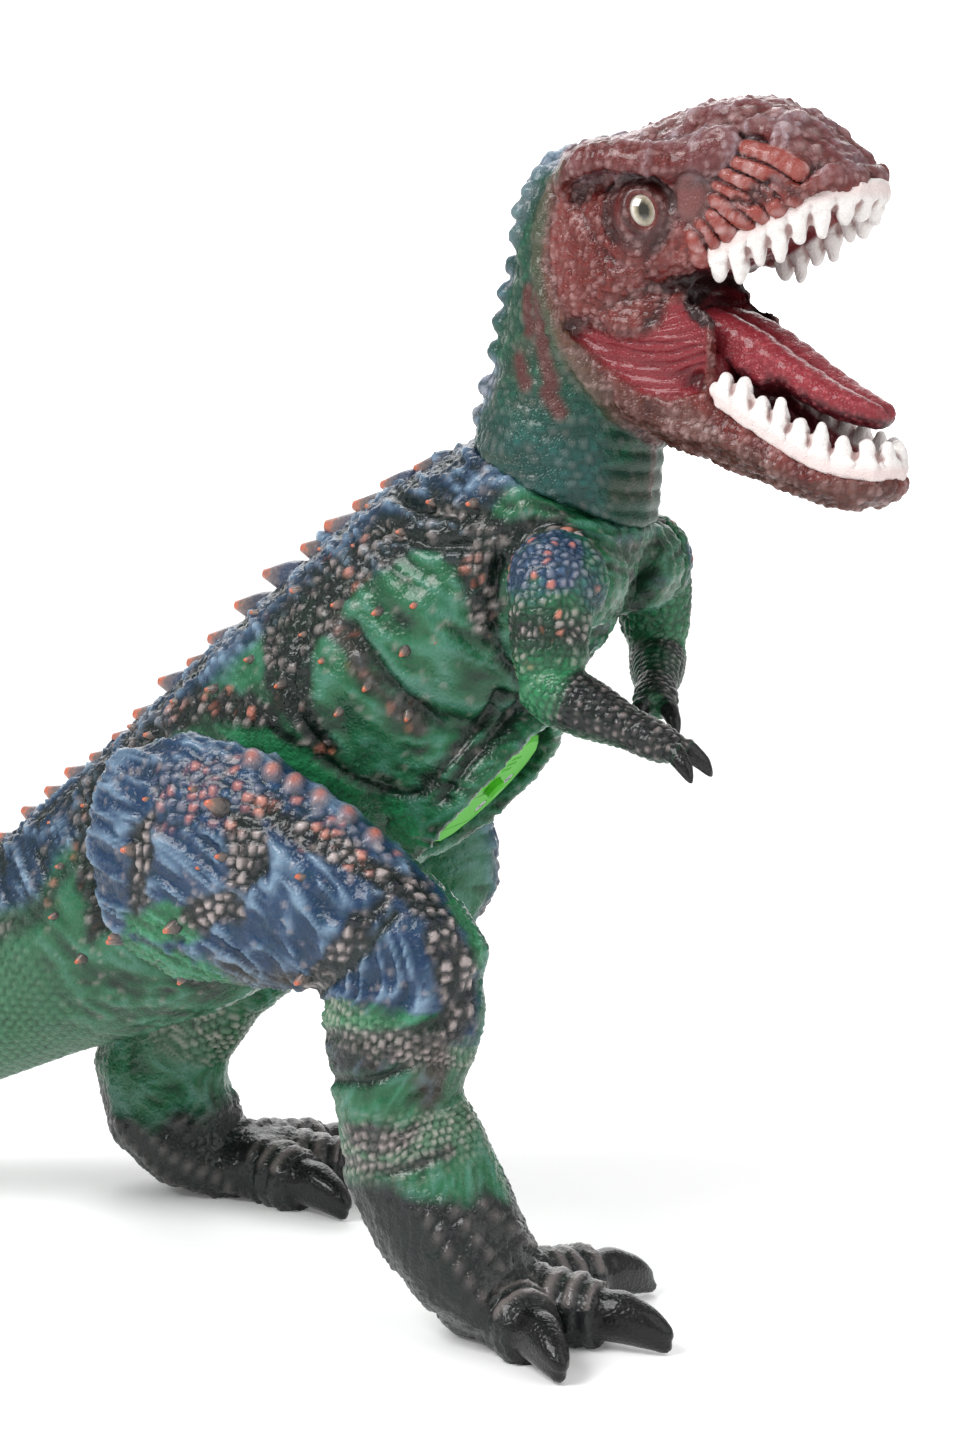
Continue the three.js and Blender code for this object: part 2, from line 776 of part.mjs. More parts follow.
function armSkin({ side, forearm, elbowShare }) {
  const swivel = swivels.shoulder(side);
  const from = pointOn(swivel, gap);
  const at = (x, out, z) => vector(from.x + x, from.y + side * out, from.z + z);
  const heading = vector(forearm.x, side * forearm.y, forearm.z).normalize();
  const ball = turned(
    [
      [0, 0],
      [shoulderFaceRadius, 0],
      [shoulderFaceRadius, armSpread / 3],
      [shoulderFaceRadius * 0.85, armSpread * 0.8],
      [shoulderFaceRadius * 0.5, armSpread * 1.15],
      [0, armSpread * 1.3],
    ],
    from,
    swivel.out,
    limbSides,
  );
  const lean = elbowShare * upperArmLength;
  const upperArm = loft(
    upperArmShares.map(([out, down, wide, high]) => ({
      at: at(down * lean, armSpread * out, -down * upperArmLength),
      wide: wide * armRadius,
      high: high * armRadius,
    })),
    limbSides,
    { hint: forwards },
  );
  const elbow = at(lean, armSpread, -upperArmLength);
  const lower = loft(
    forearmShares.map(([place, wide, high]) => ({
      at: elbow.clone().addScaledVector(heading, place * (forearmLength + handLength / 2)),
      wide: wide * armRadius,
      high: high * armRadius,
    })),
    limbSides,
  );
  const knuckle = elbow.clone().addScaledVector(heading, forearmLength + handLength / 3);
  const across = up.clone().cross(heading).normalize();
  const fingers = [-0.42, 0.42].map((spread) => {
    const way = heading.clone().addScaledVector(across, spread).normalize();
    const stations = fingerShares.map(([place, droop, size]) => ({
      at: knuckle
        .clone()
        .addScaledVector(way, place * handLength)
        .add(vector(0, 0, -droop * handLength)),
      wide: (size * armRadius) / 4,
      high: (size * armRadius) / 3.6,
    }));
    return loft(stations, clawSides);
  });
  const socket = bar(swivel.face, swivel.out, swivel.shaft + gap, gap + armSocketDepth);
  return cut(join([ball, upperArm, lower, ...fingers]), [socket]);
}
const rightArm = { side: -1, forearm: vector(0.93, 0.1, -0.34), elbowShare: 0.05 };
const leftArm = { side: 1, forearm: vector(0.3, -0.92, -0.28), elbowShare: 0.02 };

// Toes and claws fan out from the ball of a foot. Rows: place along the toe or the claw,
// height, half width and half height, as shares of the toe's or the claw's radius.
const toeShares = [
  [-0.35, 0.95, 0.8, 0.9],
  [0.3, 0.95, 1.0, 1.0],
  [0.62, 0.72, 0.8, 0.76],
  [0.88, 0.82, 0.86, 0.86],
  [1.05, 0.75, 0.6, 0.6],
];
const clawShares = [
  [-0.14, 0.9, 0.85, 0.85],
  [0.25, 0.95, 0.9, 1.0],
  [0.62, 0.72, 0.7, 0.76],
  [0.88, 0.48, 0.42, 0.42],
  [1.0, 0.36, 0.12, 0.12],
];

function footSolids(ball, toes) {
  const claws = toes.flatMap(({ yaw, share }) => {
    const heading = vector(Math.cos(radians(yaw)), Math.sin(radians(yaw)), 0);
    const on = (distance, height) =>
      vector(ball.x, ball.y, 0).addScaledVector(heading, distance).setZ(height);
    const reach = toeLength * share;
    const ring = (distance, [, rise, wide, high], radius) => ({
      at: on(distance, rise * toeRadius),
      wide: wide * radius,
      high: high * radius,
    });
    return [
      loft(
        toeShares.map((row) => ring(row[0] * reach, row, toeRadius)),
        toeSides,
      ),
      loft(
        clawShares.map((row) => ring(reach + row[0] * clawLength, row, clawRadius)),
        clawSides,
      ),
    ];
  });
  const pad = ellipsoid(
    vector(ball.x, ball.y, toeRadius * 0.8),
    vector(toeRadius * 1.35, toeRadius * 1.5, toeRadius * 0.95),
  );
  return [pad, ...claws];
}

// Rows of a leg: reach along its own length, height as a share of the hip's, then half sizes.
const rightThighShares = [
  [-0.47, 1.04, 0.36, 0.44, -0.16],
  [-0.37, 1.05, 0.8, 0.78, -0.13],
  [-0.1, 1.05, 1.0, 0.94, -0.09],
  [0.2, 1.03, 0.93, 0.98, -0.05],
  [0.49, 0.98, 0.76, 1.0, -0.02],
  [0.76, 0.92, 0.6, 1.0, 0.0],
  [0.97, 0.87, 0.46, 0.94, 0.02],
  [1.11, 0.83, 0.26, 0.64, 0.02],
];
const rightShinShares = [
  [0.9, 0.93, 0.66, 0.8],
  [0.84, 0.79, 1.0, 0.98],
  [0.81, 0.66, 0.96, 0.95],
  [0.81, 0.54, 0.76, 0.85],
  [0.87, 0.41, 0.94, 0.94],
  [0.97, 0.29, 0.9, 1.05],
  [1.12, 0.16, 0.72, 1.18],
  [1.24, 0.07, 0.36, 1.0],
];
const leftThighShares = [
  [0.42, 1.22, 0.4, 0.44, -0.16],
  [0.28, 1.16, 0.8, 0.78, -0.13],
  [0.06, 1.08, 1.0, 0.94, -0.09],
  [-0.17, 0.98, 0.96, 0.98, -0.05],
  [-0.37, 0.89, 0.78, 1.0, -0.02],
  [-0.52, 0.84, 0.52, 0.8, 0.0],
  [-0.61, 0.81, 0.2, 0.36, 0.0],
];
const leftShinShares = [
  [-0.36, 0.84, 0.84, 0.84],
  [0.0, 0.8, 0.86, 0.9],
  [0.38, 0.71, 0.76, 0.88],
  [0.7, 0.59, 0.82, 0.88],
  [0.95, 0.45, 0.96, 0.92],
  [1.03, 0.32, 0.98, 0.98],
  [0.97, 0.2, 0.92, 1.08],
  [0.82, 0.11, 0.7, 1.1],
  [0.68, 0.06, 0.36, 0.9],
];

// A hollow thigh, a shin and a foot in one skin. Above the shin its inner side is cut flat,
// clear of the hip's face, so that it swings past the torso.
function legSkin({ side, thigh, shin, reach, ball, toes, thighHint }) {
  const swivel = swivels.hip(side);
  const thighStations = (spare) =>
    thigh.map(([along, rise, deep, wide, out]) => ({
      at: vector(along * reach, side * (1 + out) * legSpread, rise * hipHeight),
      high: (deep * thighDepth) / 2 + spare,
      wide: (wide * thighWidth) / 2 + spare,
    }));
  const shinStations = shin.map(([along, rise, deep, wide]) => ({
    at: vector(along * reach, side * legSpread, rise * hipHeight),
    high: (deep * shinDepth) / 2,
    wide: (wide * shinWidth) / 2,
  }));
  const disc = bar(pointOn(swivel, gap), swivel.out, swivel.radius, thighWidth / 2);
  const thighSides = torsoSides - 4;
  const outer = join([
    loft(thighStations(0), thighSides, { hint: thighHint }),
    disc,
    loft(shinStations, limbSides, { hint: forwards }),
    ...footSolids(ball, toes),
  ]);
  const inwards = block(
    vector(0, side * (hipFace + gap - torsoWidth), hipHeight),
    vector(reachOfFloor, 2 * torsoWidth, hipHeight),
  );
  const room = cut(loft(thighStations(-wall).slice(1, -1), thighSides, { hint: thighHint }), [
    bar(pointOn(swivel, -overrun), swivel.out, hipFaceRadius * 4, wall + gap + overrun),
  ]);
  const flangeRoom = bar(
    pointOn(swivel, gap + wall),
    swivel.out,
    swivel.shaft + plugLip + gap,
    thighWidth / 3,
  );
  const hole = bar(swivel.face, swivel.out, swivel.shaft + gap, wall + gap + overrun);
  return cut(outer, [underFloor, inwards, room, flangeRoom, hole]);
}

const rightLeg = {
  side: -1,
  thigh: rightThighShares,
  shin: rightShinShares,
  reach: kneeReach,
  ball: vector(kneeReach * 1.13, -legSpread * 0.88, 0),
  toes: [
    { yaw: -46, share: 1.0 },
    { yaw: -2, share: 1.06 },
    { yaw: 58, share: 1.16 },
  ],
  thighHint: up,
};
const leftLeg = {
  side: 1,
  thigh: leftThighShares,
  shin: leftShinShares,
  reach: -hockReach,
  ball: vector(-hockReach * 0.64, legSpread * 1.04, 0),
  toes: [
    { yaw: -24, share: 1.0 },
    { yaw: 14, share: 1.06 },
    { yaw: 58, share: 1.0 },
  ],
  thighHint: up,
};

// Sound box. Levels run outwards from the ledge in the skin.
const plateFrom = boxStandOut - boxWall;
const stackDepth = cellCount * (cellThickness + gap) + 2 * (contactThickness + gap);
const cupFloor = plateFrom - 2 * gap - stackDepth - boxWall;
const cupInside = cupFloor + boxWall;
const boardTop = cupInside + gap + boardThickness;
const flangeFrom = plateFrom - gap - boxWall; // the button's travel is clear below this
const cellsAt = -boxLength / 5;
const buttonAt = cellsAt + cellRadius + buttonRadius + buttonFlange + 3 * gap;
const speakerAt = buttonAt + buttonRadius + buttonFlange + speakerRadius + gap;
const doorScrewSide = cellRadius + screwHeadRadius + 4 * gap;
const doorSide = (doorScrewSide - cellRadius) / 2;
const bezelScrewSide = boxWidth / 3;
const bossRadius = 2 * screwRadius;

// A box laid in the sound box's own directions
function boxBlock(along, side, from, to, length, width) {
  const geometry = new THREE.BoxGeometry(length, width, to - from);
  const basis = new THREE.Matrix4().makeBasis(boxAlong, leftwards.clone().negate(), boxFace);
  geometry.applyMatrix4(basis.setPosition(boxPoint(along, side, (from + to) / 2)));
  return solidOf(geometry);
}
const boxBar = (along, side, from, to, radius, sides = smallSides) =>
  bar(boxPoint(along, side, from), boxFace, radius, to - from, sides);

const grilleHoles = () =>
  [-1, 0, 1].flatMap((row) =>
    [-1, 0, 1].map((column) =>
      boxBar(
        speakerAt + (row * speakerRadius) / 2,
        (column * speakerRadius) / 2,
        plateFrom - overrun,
        boxStandOut + overrun,
        grilleHoleRadius,
        6,
      ),
    ),
  );

function screwHole(along, side) {
  return join([
    boxBar(along, side, plateFrom - overrun, boxStandOut + overrun, screwRadius + gap),
    boxBar(
      along,
      side,
      boxStandOut - screwHeadHeight - gap,
      boxStandOut + overrun,
      screwHeadRadius + gap,
    ),
  ]);
}

function bezel() {
  const rounding = boxStandOut / 3;
  const level = (out, grown) => ({
    at: boxPoint(0, 0, out),
    wide: boxWidth / 2 + grown,
    high: boxLength / 2 + grown,
    along: boxFace,
  });
  const shell = loft(
    [
      level(gap, boxRim),
      level(boxStandOut - rounding, boxRim),
      level(boxStandOut, boxRim - rounding),
    ],
    roundSides,
    { hint: boxAlong },
  );
  return cut(shell, [
    boxOval(boxWall, -overrun, plateFrom),
    boxBlock(
      cellsAt,
      doorSide,
      plateFrom - overrun,
      boxStandOut + overrun,
      doorLength + 2 * gap,
      doorWidth + 2 * gap,
    ),
    boxBar(buttonAt, 0, plateFrom - overrun, boxStandOut + overrun, buttonRadius + gap),
    ...grilleHoles(),
    ...[-1, 1].map((side) => screwHole(buttonAt, side * bezelScrewSide)),
  ]);
}

// Bosses in the cup take the bezel's two screws and the door's one
function cup() {
  const screwSeats = [
    [buttonAt, -bezelScrewSide],
    [buttonAt, bezelScrewSide],
    [cellsAt, doorScrewSide],
  ];
  const bosses = screwSeats.map(([along, side]) =>
    boxBar(along, side, cupFloor, plateFrom - gap, bossRadius),
  );
  const outside = boxOval(boxWall + gap, cupFloor, plateFrom - gap);
  const shell = cut(outside, [boxOval(2 * boxWall + gap, cupInside, plateFrom)]);
  const bores = screwSeats.map(([along, side]) =>
    boxBar(along, side, boxStandOut - screwLength - gap, plateFrom, screwRadius + gap),
  );
  return cut(join([shell, ...bosses.map((boss) => boss.intersect(outside))]), bores);
}

// The board lies on the cup's floor, cut out round the cells and the screw bosses
function circuitBoard() {
  return cut(boxOval(2 * boxWall + 2 * gap, cupInside + gap, boardTop), [
    boxBar(cellsAt, 0, cupInside, boardTop + overrun, cellRadius + 2 * gap),
    ...[-1, 1].map((side) =>
      boxBar(buttonAt, side * bezelScrewSide, cupInside, boardTop + overrun, bossRadius + gap),
    ),
    boxBlock(
      cellsAt,
      doorScrewSide,
      cupInside,
      boardTop + overrun,
      2 * (bossRadius + gap),
      3 * bossRadius,
    ),
  ]);
}

function roarButton() {
  const top = boxStandOut + buttonStandOut;
  return turned(
    [
      [0, flangeFrom],
      [buttonRadius + buttonFlange, flangeFrom],
      [buttonRadius + buttonFlange, plateFrom - gap],
      [buttonRadius, plateFrom - gap],
      [buttonRadius, top - buttonDome],
      [buttonRadius * 0.7, top - buttonDome / 4],
      [0, top],
    ],
    boxPoint(buttonAt, 0, 0),
    boxFace,
    smallSides,
  );
}

class Helix extends THREE.Curve {
  constructor(radius, height, turns) {
    super();
    Object.assign(this, { radius, height, turns });
  }
  getPoint(t, target = new THREE.Vector3()) {
    const angle = 2 * Math.PI * this.turns * t;
    const x = this.radius * Math.cos(angle);
    const z = this.radius * Math.sin(angle);
    return target.set(x, this.height * t, z);
  }
}

// The spring stands on the board and pushes the button's flange outwards
function buttonSpring() {
  const turns = 4;
  const from = boardTop + gap + springWire / 2;
  const height = flangeFrom - gap - springWire / 2 - from;
  const corners = Array.from({ length: 5 }, (_, i) =>
    new THREE.Vector2(springWire / 2, 0).rotateAround(new THREE.Vector2(), (2 * Math.PI * i) / 5),
  );
  const geometry = new THREE.ExtrudeGeometry(new THREE.Shape(corners), {
    steps: turns * 8,
    extrudePath: new Helix(buttonRadius - springWire / 2, height, turns),
  });
  return aim(geometry, boxPoint(buttonAt, 0, from), boxFace);
}

function speaker() {
  const top = plateFrom - gap;
  return turned(
    [
      [0, top - speakerDepth],
      [magnetRadius, top - speakerDepth],
      [speakerRadius, top - speakerRim],
      [speakerRadius, top],
      [speakerRadius - speakerRim, top],
      [magnetRadius / 2, top - speakerDepth / 2],
      [0, top - speakerDepth / 2],
    ],
    boxPoint(speakerAt, 0, 0),
    boxFace,
    smallSides,
  );
}
const speakerMagnet = () => {
  const top = plateFrom - gap - speakerDepth - gap;
  return boxBar(speakerAt, 0, top - magnetDepth, top, magnetRadius);
};

// A stack of button cells between two contact plates
const stackFrom = cupInside + gap + contactThickness + gap;
const cellFrom = (i) => stackFrom + i * (cellThickness + gap);
const batteryCell = (i) =>
  boxBar(cellsAt, 0, cellFrom(i), cellFrom(i) + cellThickness, cellRadius, smallSides + 4);
const contactPlate = (from) =>
  boxBlock(cellsAt, 0, from, from + contactThickness, 1.5 * cellRadius, cellRadius);

function batteryDoor() {
  const door = boxBlock(cellsAt, doorSide, plateFrom, boxStandOut, doorLength, doorWidth);
  return cut(door, [screwHole(cellsAt, doorScrewSide)]);
}

// A pan-head screw with a cross slot, its head flush with the plate that it holds
function screw(along, side) {
  const body = join([
    boxBar(along, side, boxStandOut - screwLength, boxStandOut - gap, screwRadius, 8),
    boxBar(along, side, boxStandOut - screwHeadHeight, boxStandOut, screwHeadRadius, 10),
  ]);
  const slotFloor = boxStandOut - screwHeadHeight / 2;
  const slot = (length, width) =>
    boxBlock(along, side, slotFloor, boxStandOut + overrun, length, width);
  const slotLength = 1.4 * screwHeadRadius;
  return cut(body, [slot(slotLength, slotWidth), slot(slotWidth, slotLength)]);
}

// Assembly
addPart("torso_skin", torsoSkin(), vinylGreen);
addPart("head_skin", headSkin(), vinylRed);
addPart("upper_teeth", toothRow(upperLip, -1, upperToothShares), toothWhite);
addPart("lower_teeth", toothRow(lowerLip, 1, lowerToothShares), toothWhite);
addPart("tongue", tongueSolid(), tongueRed);
addPart("right_eye", eyeball(-1), eyeCream);
addPart("left_eye", eyeball(1), eyeCream);
addPart("neck_plug", plug(swivels.neck, wall), blackPlastic);
addPart("right_arm_skin", armSkin(rightArm), vinylGreen);
addPart("left_arm_skin", armSkin(leftArm), vinylGreen);
addPart("right_shoulder_plug", armPlug(swivels.shoulder(-1)), blackPlastic);
addPart("left_shoulder_plug", armPlug(swivels.shoulder(1)), blackPlastic);
addPart("right_leg_skin", legSkin(rightLeg), vinylGreen);
addPart("left_leg_skin", legSkin(leftLeg), vinylGreen);
addPart("right_hip_plug", plug(swivels.hip(-1), wall), blackPlastic);
addPart("left_hip_plug", plug(swivels.hip(1), wall), blackPlastic);
addPart("sound_box_bezel", bezel(), limePlastic);
addPart("sound_box_cup", cup(), blackPlastic);
addPart("battery_door", batteryDoor(), limePlastic);
addPart("battery_door_screw", screw(cellsAt, doorScrewSide), bareSteel);
addPart("right_bezel_screw", screw(buttonAt, -bezelScrewSide), bareSteel);
addPart("left_bezel_screw", screw(buttonAt, bezelScrewSide), bareSteel);
addPart("roar_button", roarButton(), limePlastic);
addPart("roar_button_spring", buttonSpring(), bareSteel);
addPart("circuit_board", circuitBoard(), boardGreen);
addPart("speaker", speaker(), blackPlastic);
addPart("speaker_magnet", speakerMagnet(), bareSteel);
for (let i = 0; i < cellCount; i++) {
  addPart(`button_cell_${i + 1}`, batteryCell(i), bareSteel);
}
addPart("lower_contact_plate", contactPlate(cupInside + gap), bareSteel);
addPart("upper_contact_plate", contactPlate(cellFrom(cellCount)), bareSteel);

// The figure stands with its box centred on the origin and its soles on the floor
const bounds = new THREE.Box3().setFromObject(figure, true);
const middle = bounds.getCenter(new THREE.Vector3());
figure.position.set(-middle.x, -middle.y, -bounds.min.z);

export default figure;
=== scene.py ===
import json
import math

import bmesh
import bpy
import numpy as np
import openvdb
from mathutils import Matrix, Vector


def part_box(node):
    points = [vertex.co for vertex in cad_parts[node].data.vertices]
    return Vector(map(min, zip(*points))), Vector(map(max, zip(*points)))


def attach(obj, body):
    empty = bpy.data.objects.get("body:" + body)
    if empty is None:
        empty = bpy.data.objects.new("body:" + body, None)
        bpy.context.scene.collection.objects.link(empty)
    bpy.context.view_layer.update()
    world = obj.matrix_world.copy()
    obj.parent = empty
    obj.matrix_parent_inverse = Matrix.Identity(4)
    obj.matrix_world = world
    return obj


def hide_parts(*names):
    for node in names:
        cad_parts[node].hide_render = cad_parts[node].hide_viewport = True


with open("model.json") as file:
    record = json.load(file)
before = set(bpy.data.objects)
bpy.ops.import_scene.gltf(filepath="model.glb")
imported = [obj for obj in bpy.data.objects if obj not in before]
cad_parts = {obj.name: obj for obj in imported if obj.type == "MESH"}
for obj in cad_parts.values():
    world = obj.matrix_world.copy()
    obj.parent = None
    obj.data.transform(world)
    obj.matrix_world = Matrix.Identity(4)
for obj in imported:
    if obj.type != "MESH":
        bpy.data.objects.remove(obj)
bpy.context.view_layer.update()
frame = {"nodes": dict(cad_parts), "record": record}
joints = {joint["name"]: joint for joint in frame["record"]["behaviour"]["joints"]}
print("frame loaded:", len(frame["nodes"]), "nodes")

# Every size below is in millimetres from the floor under the middle of the hips:
# x forwards, y to the figure's left, z up. A side is -1 for the figure's right and 1 for its left.
mm = 0.001
sideNames = {-1: "right", 1: "left"}
hips = [np.array(joints[name]["pos_m"]) / mm for name in ("right_hip", "left_hip")]
underHips = (hips[0] + hips[1]) / 2 * (1, 1, 0)

# The photograph: where it was taken from, and its frame in pixels
photo = {
    "azimuth": 22,
    "elevation": 8,
    "distance": 1000,
    "target": (62, 0, 163),
    "targetPixel": (480, 723),
    "focalPixels": 3500,
    "tallPixels": 1446,
}


def turnedAxes():
    azimuth = math.radians(photo["azimuth"])
    elevation = math.radians(photo["elevation"])
    back = np.array([
        math.sin(azimuth) * math.cos(elevation),
        -math.cos(azimuth) * math.cos(elevation),
        math.sin(elevation),
    ])
    right = np.array([math.cos(azimuth), math.sin(azimuth), 0])
    return right, np.cross(back, right), back


photoRight, photoUp, photoBack = turnedAxes()
photoEye = np.array(photo["target"]) + photo["distance"] * photoBack


# Pixels of the photograph where points of the figure show
def pixelsOf(points):
    away = points - photoEye
    scale = photo["focalPixels"] / -(away @ photoBack)
    across, down = photo["targetPixel"]
    return np.stack([across + away @ photoRight * scale, down - away @ photoUp * scale], axis=-1)


def addObject(name, data):
    thing = bpy.data.objects.new(name, data)
    bpy.context.scene.collection.objects.link(thing)
    return thing


def addCamera():
    camera = bpy.data.cameras.new("camera")
    camera.sensor_fit = "VERTICAL"
    camera.sensor_height = 36
    camera.lens = camera.sensor_height * photo["focalPixels"] / photo["tallPixels"]
    body = addObject("camera", camera)
    rotation = Matrix((photoRight, photoUp, photoBack)).transposed()
    body.matrix_world = Matrix.Translation((photoEye + underHips) * mm) @ rotation.to_4x4()
    bpy.context.scene.camera = body


addCamera()


# Gives a node its inputs. A node or a socket is linked, and anything else is the input's value.
def feed(node, inputs):
    for name, value in inputs.items():
        if isinstance(value, bpy.types.Node):
            value = value.outputs[0]
        if isinstance(value, bpy.types.NodeSocket):
            node.id_data.links.new(value, node.inputs[name])
        else:
            node.inputs[name].default_value = value


def addNode(tree, kind, inputs=None, **settings):
    node = tree.nodes.new(kind)
    for name, value in settings.items():
        setattr(node, name, value)
    feed(node, inputs or {})
    return node


def addMath(tree, operation, *values, **settings):
    return addNode(tree, "ShaderNodeMath", dict(enumerate(values)), operation=operation, **settings)


def addMix(tree, share, first, second, blend="MIX"):
    inputs = {0: share, 6: first, 7: second}
    return addNode(tree, "ShaderNodeMix", inputs, data_type="RGBA", blend_type=blend).outputs[2]


# The value of a point attribute, which says where something is painted
def addMark(tree, mark):
    return addNode(tree, "ShaderNodeAttribute", attribute_name=mark).outputs["Fac"]


def addNoise(tree, place, scale, detail):
    return addNode(tree, "ShaderNodeTexNoise", {"Vector": place, "Scale": scale, "Detail": detail})


# An sRGB hex colour as linear RGBA
def linear(colour):
    parts = [int(colour[i : i + 2], 16) / 255 for i in (1, 3, 5)]
    return tuple(c / 12.92 if c <= 0.04045 else ((c + 0.055) / 1.055) ** 2.4 for c in parts) + (1,)


# A new material, its node tree and its shader
def startMaterial(name, inputs):
    material = bpy.data.materials.new(name)
    material.use_nodes = True
    shader = material.node_tree.nodes["Principled BSDF"]
    feed(shader, inputs)
    return material, material.node_tree, shader


def plainMaterial(name, colour, roughness, glow=0):
    return startMaterial(name, {"Base Color": linear(colour), "Roughness": roughness,
                                "Emission Color": linear(colour), "Emission Strength": glow})


studio = {
    "white": "#ffffff",
    "floorReach": 6000,
    "floorRoughness": 0.6,
    "floorGlow": 0.07,
    "wallBehind": 3000,
    "wallReach": 1600,
    "wallRise": 1.6,
    "wallRoughness": 0.8,
    "wallGlow": 1.25,
    "worldStrength": 0.45,
    # azimuth in degrees, height and reach in metres, power in watts, size in metres
    "lamps": {
        "keyLamp": (-25, 1.3, 1.2, 26, 0.8),
        "fillLamp": (75, 0.9, 1.3, 9, 1.4),
        "rimLamp": (200, 1.2, 1.1, 5, 0.8),
    },
    "lampAim": (0.05, 0, 0.16),
}


def addLamp(name, azimuth, height, reach, power, size):
    lamp = bpy.data.lights.new(name, "AREA")
    lamp.energy = power
    lamp.size = size
    body = addObject(name, lamp)
    turn = math.radians(azimuth)
    place = Vector((math.sin(turn) * reach, -math.cos(turn) * reach, height))
    body.location = place
    body.rotation_euler = (Vector(studio["lampAim"]) - place).to_track_quat("-Z", "Y").to_euler()


# White paper, under the figure or behind it, with a glow of its own that hides its shading
def addPaper(name, corners, material):
    mesh = bpy.data.meshes.new(name)
    mesh.from_pydata(corners, [], [(0, 1, 2, 3)])
    mesh.materials.append(material)
    paper = addObject(name, mesh)


def addStudio():
    s = studio
    reach = s["floorReach"] * mm
    corners = [(-reach, -reach, 0), (reach, -reach, 0), (reach, reach, 0), (-reach, reach, 0)]
    paper = plainMaterial("paperFloor", s["white"], s["floorRoughness"], s["floorGlow"])[0]
    addPaper("floor", corners, paper)
    across = np.array([photoRight[0], photoRight[1], 0])
    middle = np.array([-photoBack[0], -photoBack[1], 0]) * s["wallBehind"] * mm
    reach = s["wallReach"] * mm
    corners = [middle - reach * across, middle + reach * across]
    corners += [corner + np.array([0, 0, s["wallRise"] * reach]) for corner in corners[::-1]]
    paper = plainMaterial("litPaper", s["white"], s["wallRoughness"], s["wallGlow"])[0]
    addPaper("backdrop", corners, paper)
    world = bpy.data.worlds.new("studioRoom")
    world.use_nodes = True
    feed(world.node_tree.nodes["Background"], {"Color": linear(s["white"]), "Strength": s["worldStrength"]})
    bpy.context.scene.world = world
    for name, settings in s["lamps"].items():
        addLamp(name, *settings)
    bpy.context.scene.view_settings.view_transform = "Standard"


addStudio()
print("camera, floor and lamps set")


def unit(vectors):
    return vectors / np.linalg.norm(vectors, axis=-1, keepdims=True)


# The lengths along a line at which its points lie
def lengthsOf(line):
    return np.concatenate([[0], np.cumsum(np.linalg.norm(np.diff(line, axis=0), axis=1))])


# Vectors given at some lengths, at other lengths between them
def between(wanted, lengths, vectors):
    return np.stack([np.interp(wanted, lengths, vectors[:, axis]) for axis in range(3)], axis=-1)


# Values given for whole-number cells, blended at the shares of the way from each cell to the next
def blendCells(cells, shares, valueOf):
    total = np.zeros(len(cells))
    for corner in np.ndindex(2, 2, 2):
        weight = np.prod(np.where(corner, shares, 1 - shares), axis=1)
        total += weight * valueOf(cells + corner)
    return total


# The lower of two distances, with the join between them blended over a width
def softMin(first, second, width):
    share = np.clip(0.5 + 0.5 * (second - first) / width, 0, 1)
    return second + (first - second) * share - width * share * (1 - share)


def ease(value):
    value = np.clip(value, 0, 1)
    return value * value * (3 - 2 * value)


def bell(value, width):
    return np.exp(-(value / width) ** 2)


# Fields: signed distances in mm on a grid, negative inside
class Field:
    def __init__(self, low, step, values):
        self.low = low
        self.step = step
        self.values = values

    def at(self, points):
        place = np.clip(points / self.step - self.low, 0, np.array(self.values.shape) - 1.001)
        cells = place.astype(int)
        return blendCells(cells, place - cells, lambda near: self.values[tuple(near.T)])

    # The direction in which the distance grows, which on the surface is the normal
    def slope(self, points):
        reach = self.step * np.eye(3)
        slopes = np.stack([self.at(points + axis) - self.at(points - axis) for axis in reach], axis=1)
        return slopes / np.maximum(np.linalg.norm(slopes, axis=1, keepdims=True), 1e-9)

    # Points moved onto the surface, in a few strides
    def settle(self, points, strides):
        for _ in range(strides):
            points = points - self.at(points)[:, None] * self.slope(points)
        return points

    def blurred(self, radius):
        width = radius / self.step
        reach = max(1, math.ceil(2.2 * width))
        weights = np.exp(-0.5 * (np.arange(-reach, reach + 1) / width) ** 2)
        weights /= weights.sum()
        values = self.values
        for axis in range(3):
            padding = [(reach, reach) if i == axis else (0, 0) for i in range(3)]
            padded = np.pad(values, padding, mode="edge")
            size = values.shape[axis]
            values = sum(np.float32(weight) * np.take(padded, range(i, i + size), axis=axis)
                         for i, weight in enumerate(weights))
        return Field(self.low, self.step, values)

    def polygons(self):
        grid = openvdb.FloatGrid(float(self.values.max()))
        grid.copyFromArray(self.values)
        points, _, quads = grid.convertToPolygons(0, 0)
        return (points + self.low) * self.step, quads[:, ::-1].astype(int)

    # The part of the grid round a box, as slices and as the places of its points
    def window(self, low, high):
        first = np.maximum(np.floor(np.array(low) / self.step - self.low).astype(int), 0)
        last = np.ceil(np.array(high) / self.step - self.low).astype(int) + 1
        ends = list(zip(first, np.minimum(last, self.values.shape)))
        lines = [(np.arange(a, b) + self.low[i]) * self.step for i, (a, b) in enumerate(ends)]
        places = np.stack(np.meshgrid(*lines, indexing="ij"), axis=-1).astype(np.float32)
        return tuple(slice(a, b) for a, b in ends), places

    # The same field with more room round it
    def widened(self, room, outside):
        cells = int(room / self.step)
        values = np.pad(self.values, cells, constant_values=outside)
        return Field(self.low - cells, self.step, values)

    # Balls added to the solid, or dug out of it where way is -1, each blended over a width
    def dab(self, places, radius, soft, way=1):
        reach = radius + 2 * soft
        for place in places:
            slices, cells = self.window(place - reach, place + reach)
            ball = np.linalg.norm(cells - place.astype(np.float32), axis=-1) - radius
            self.values[slices] = way * softMin(way * self.values[slices], ball, soft)


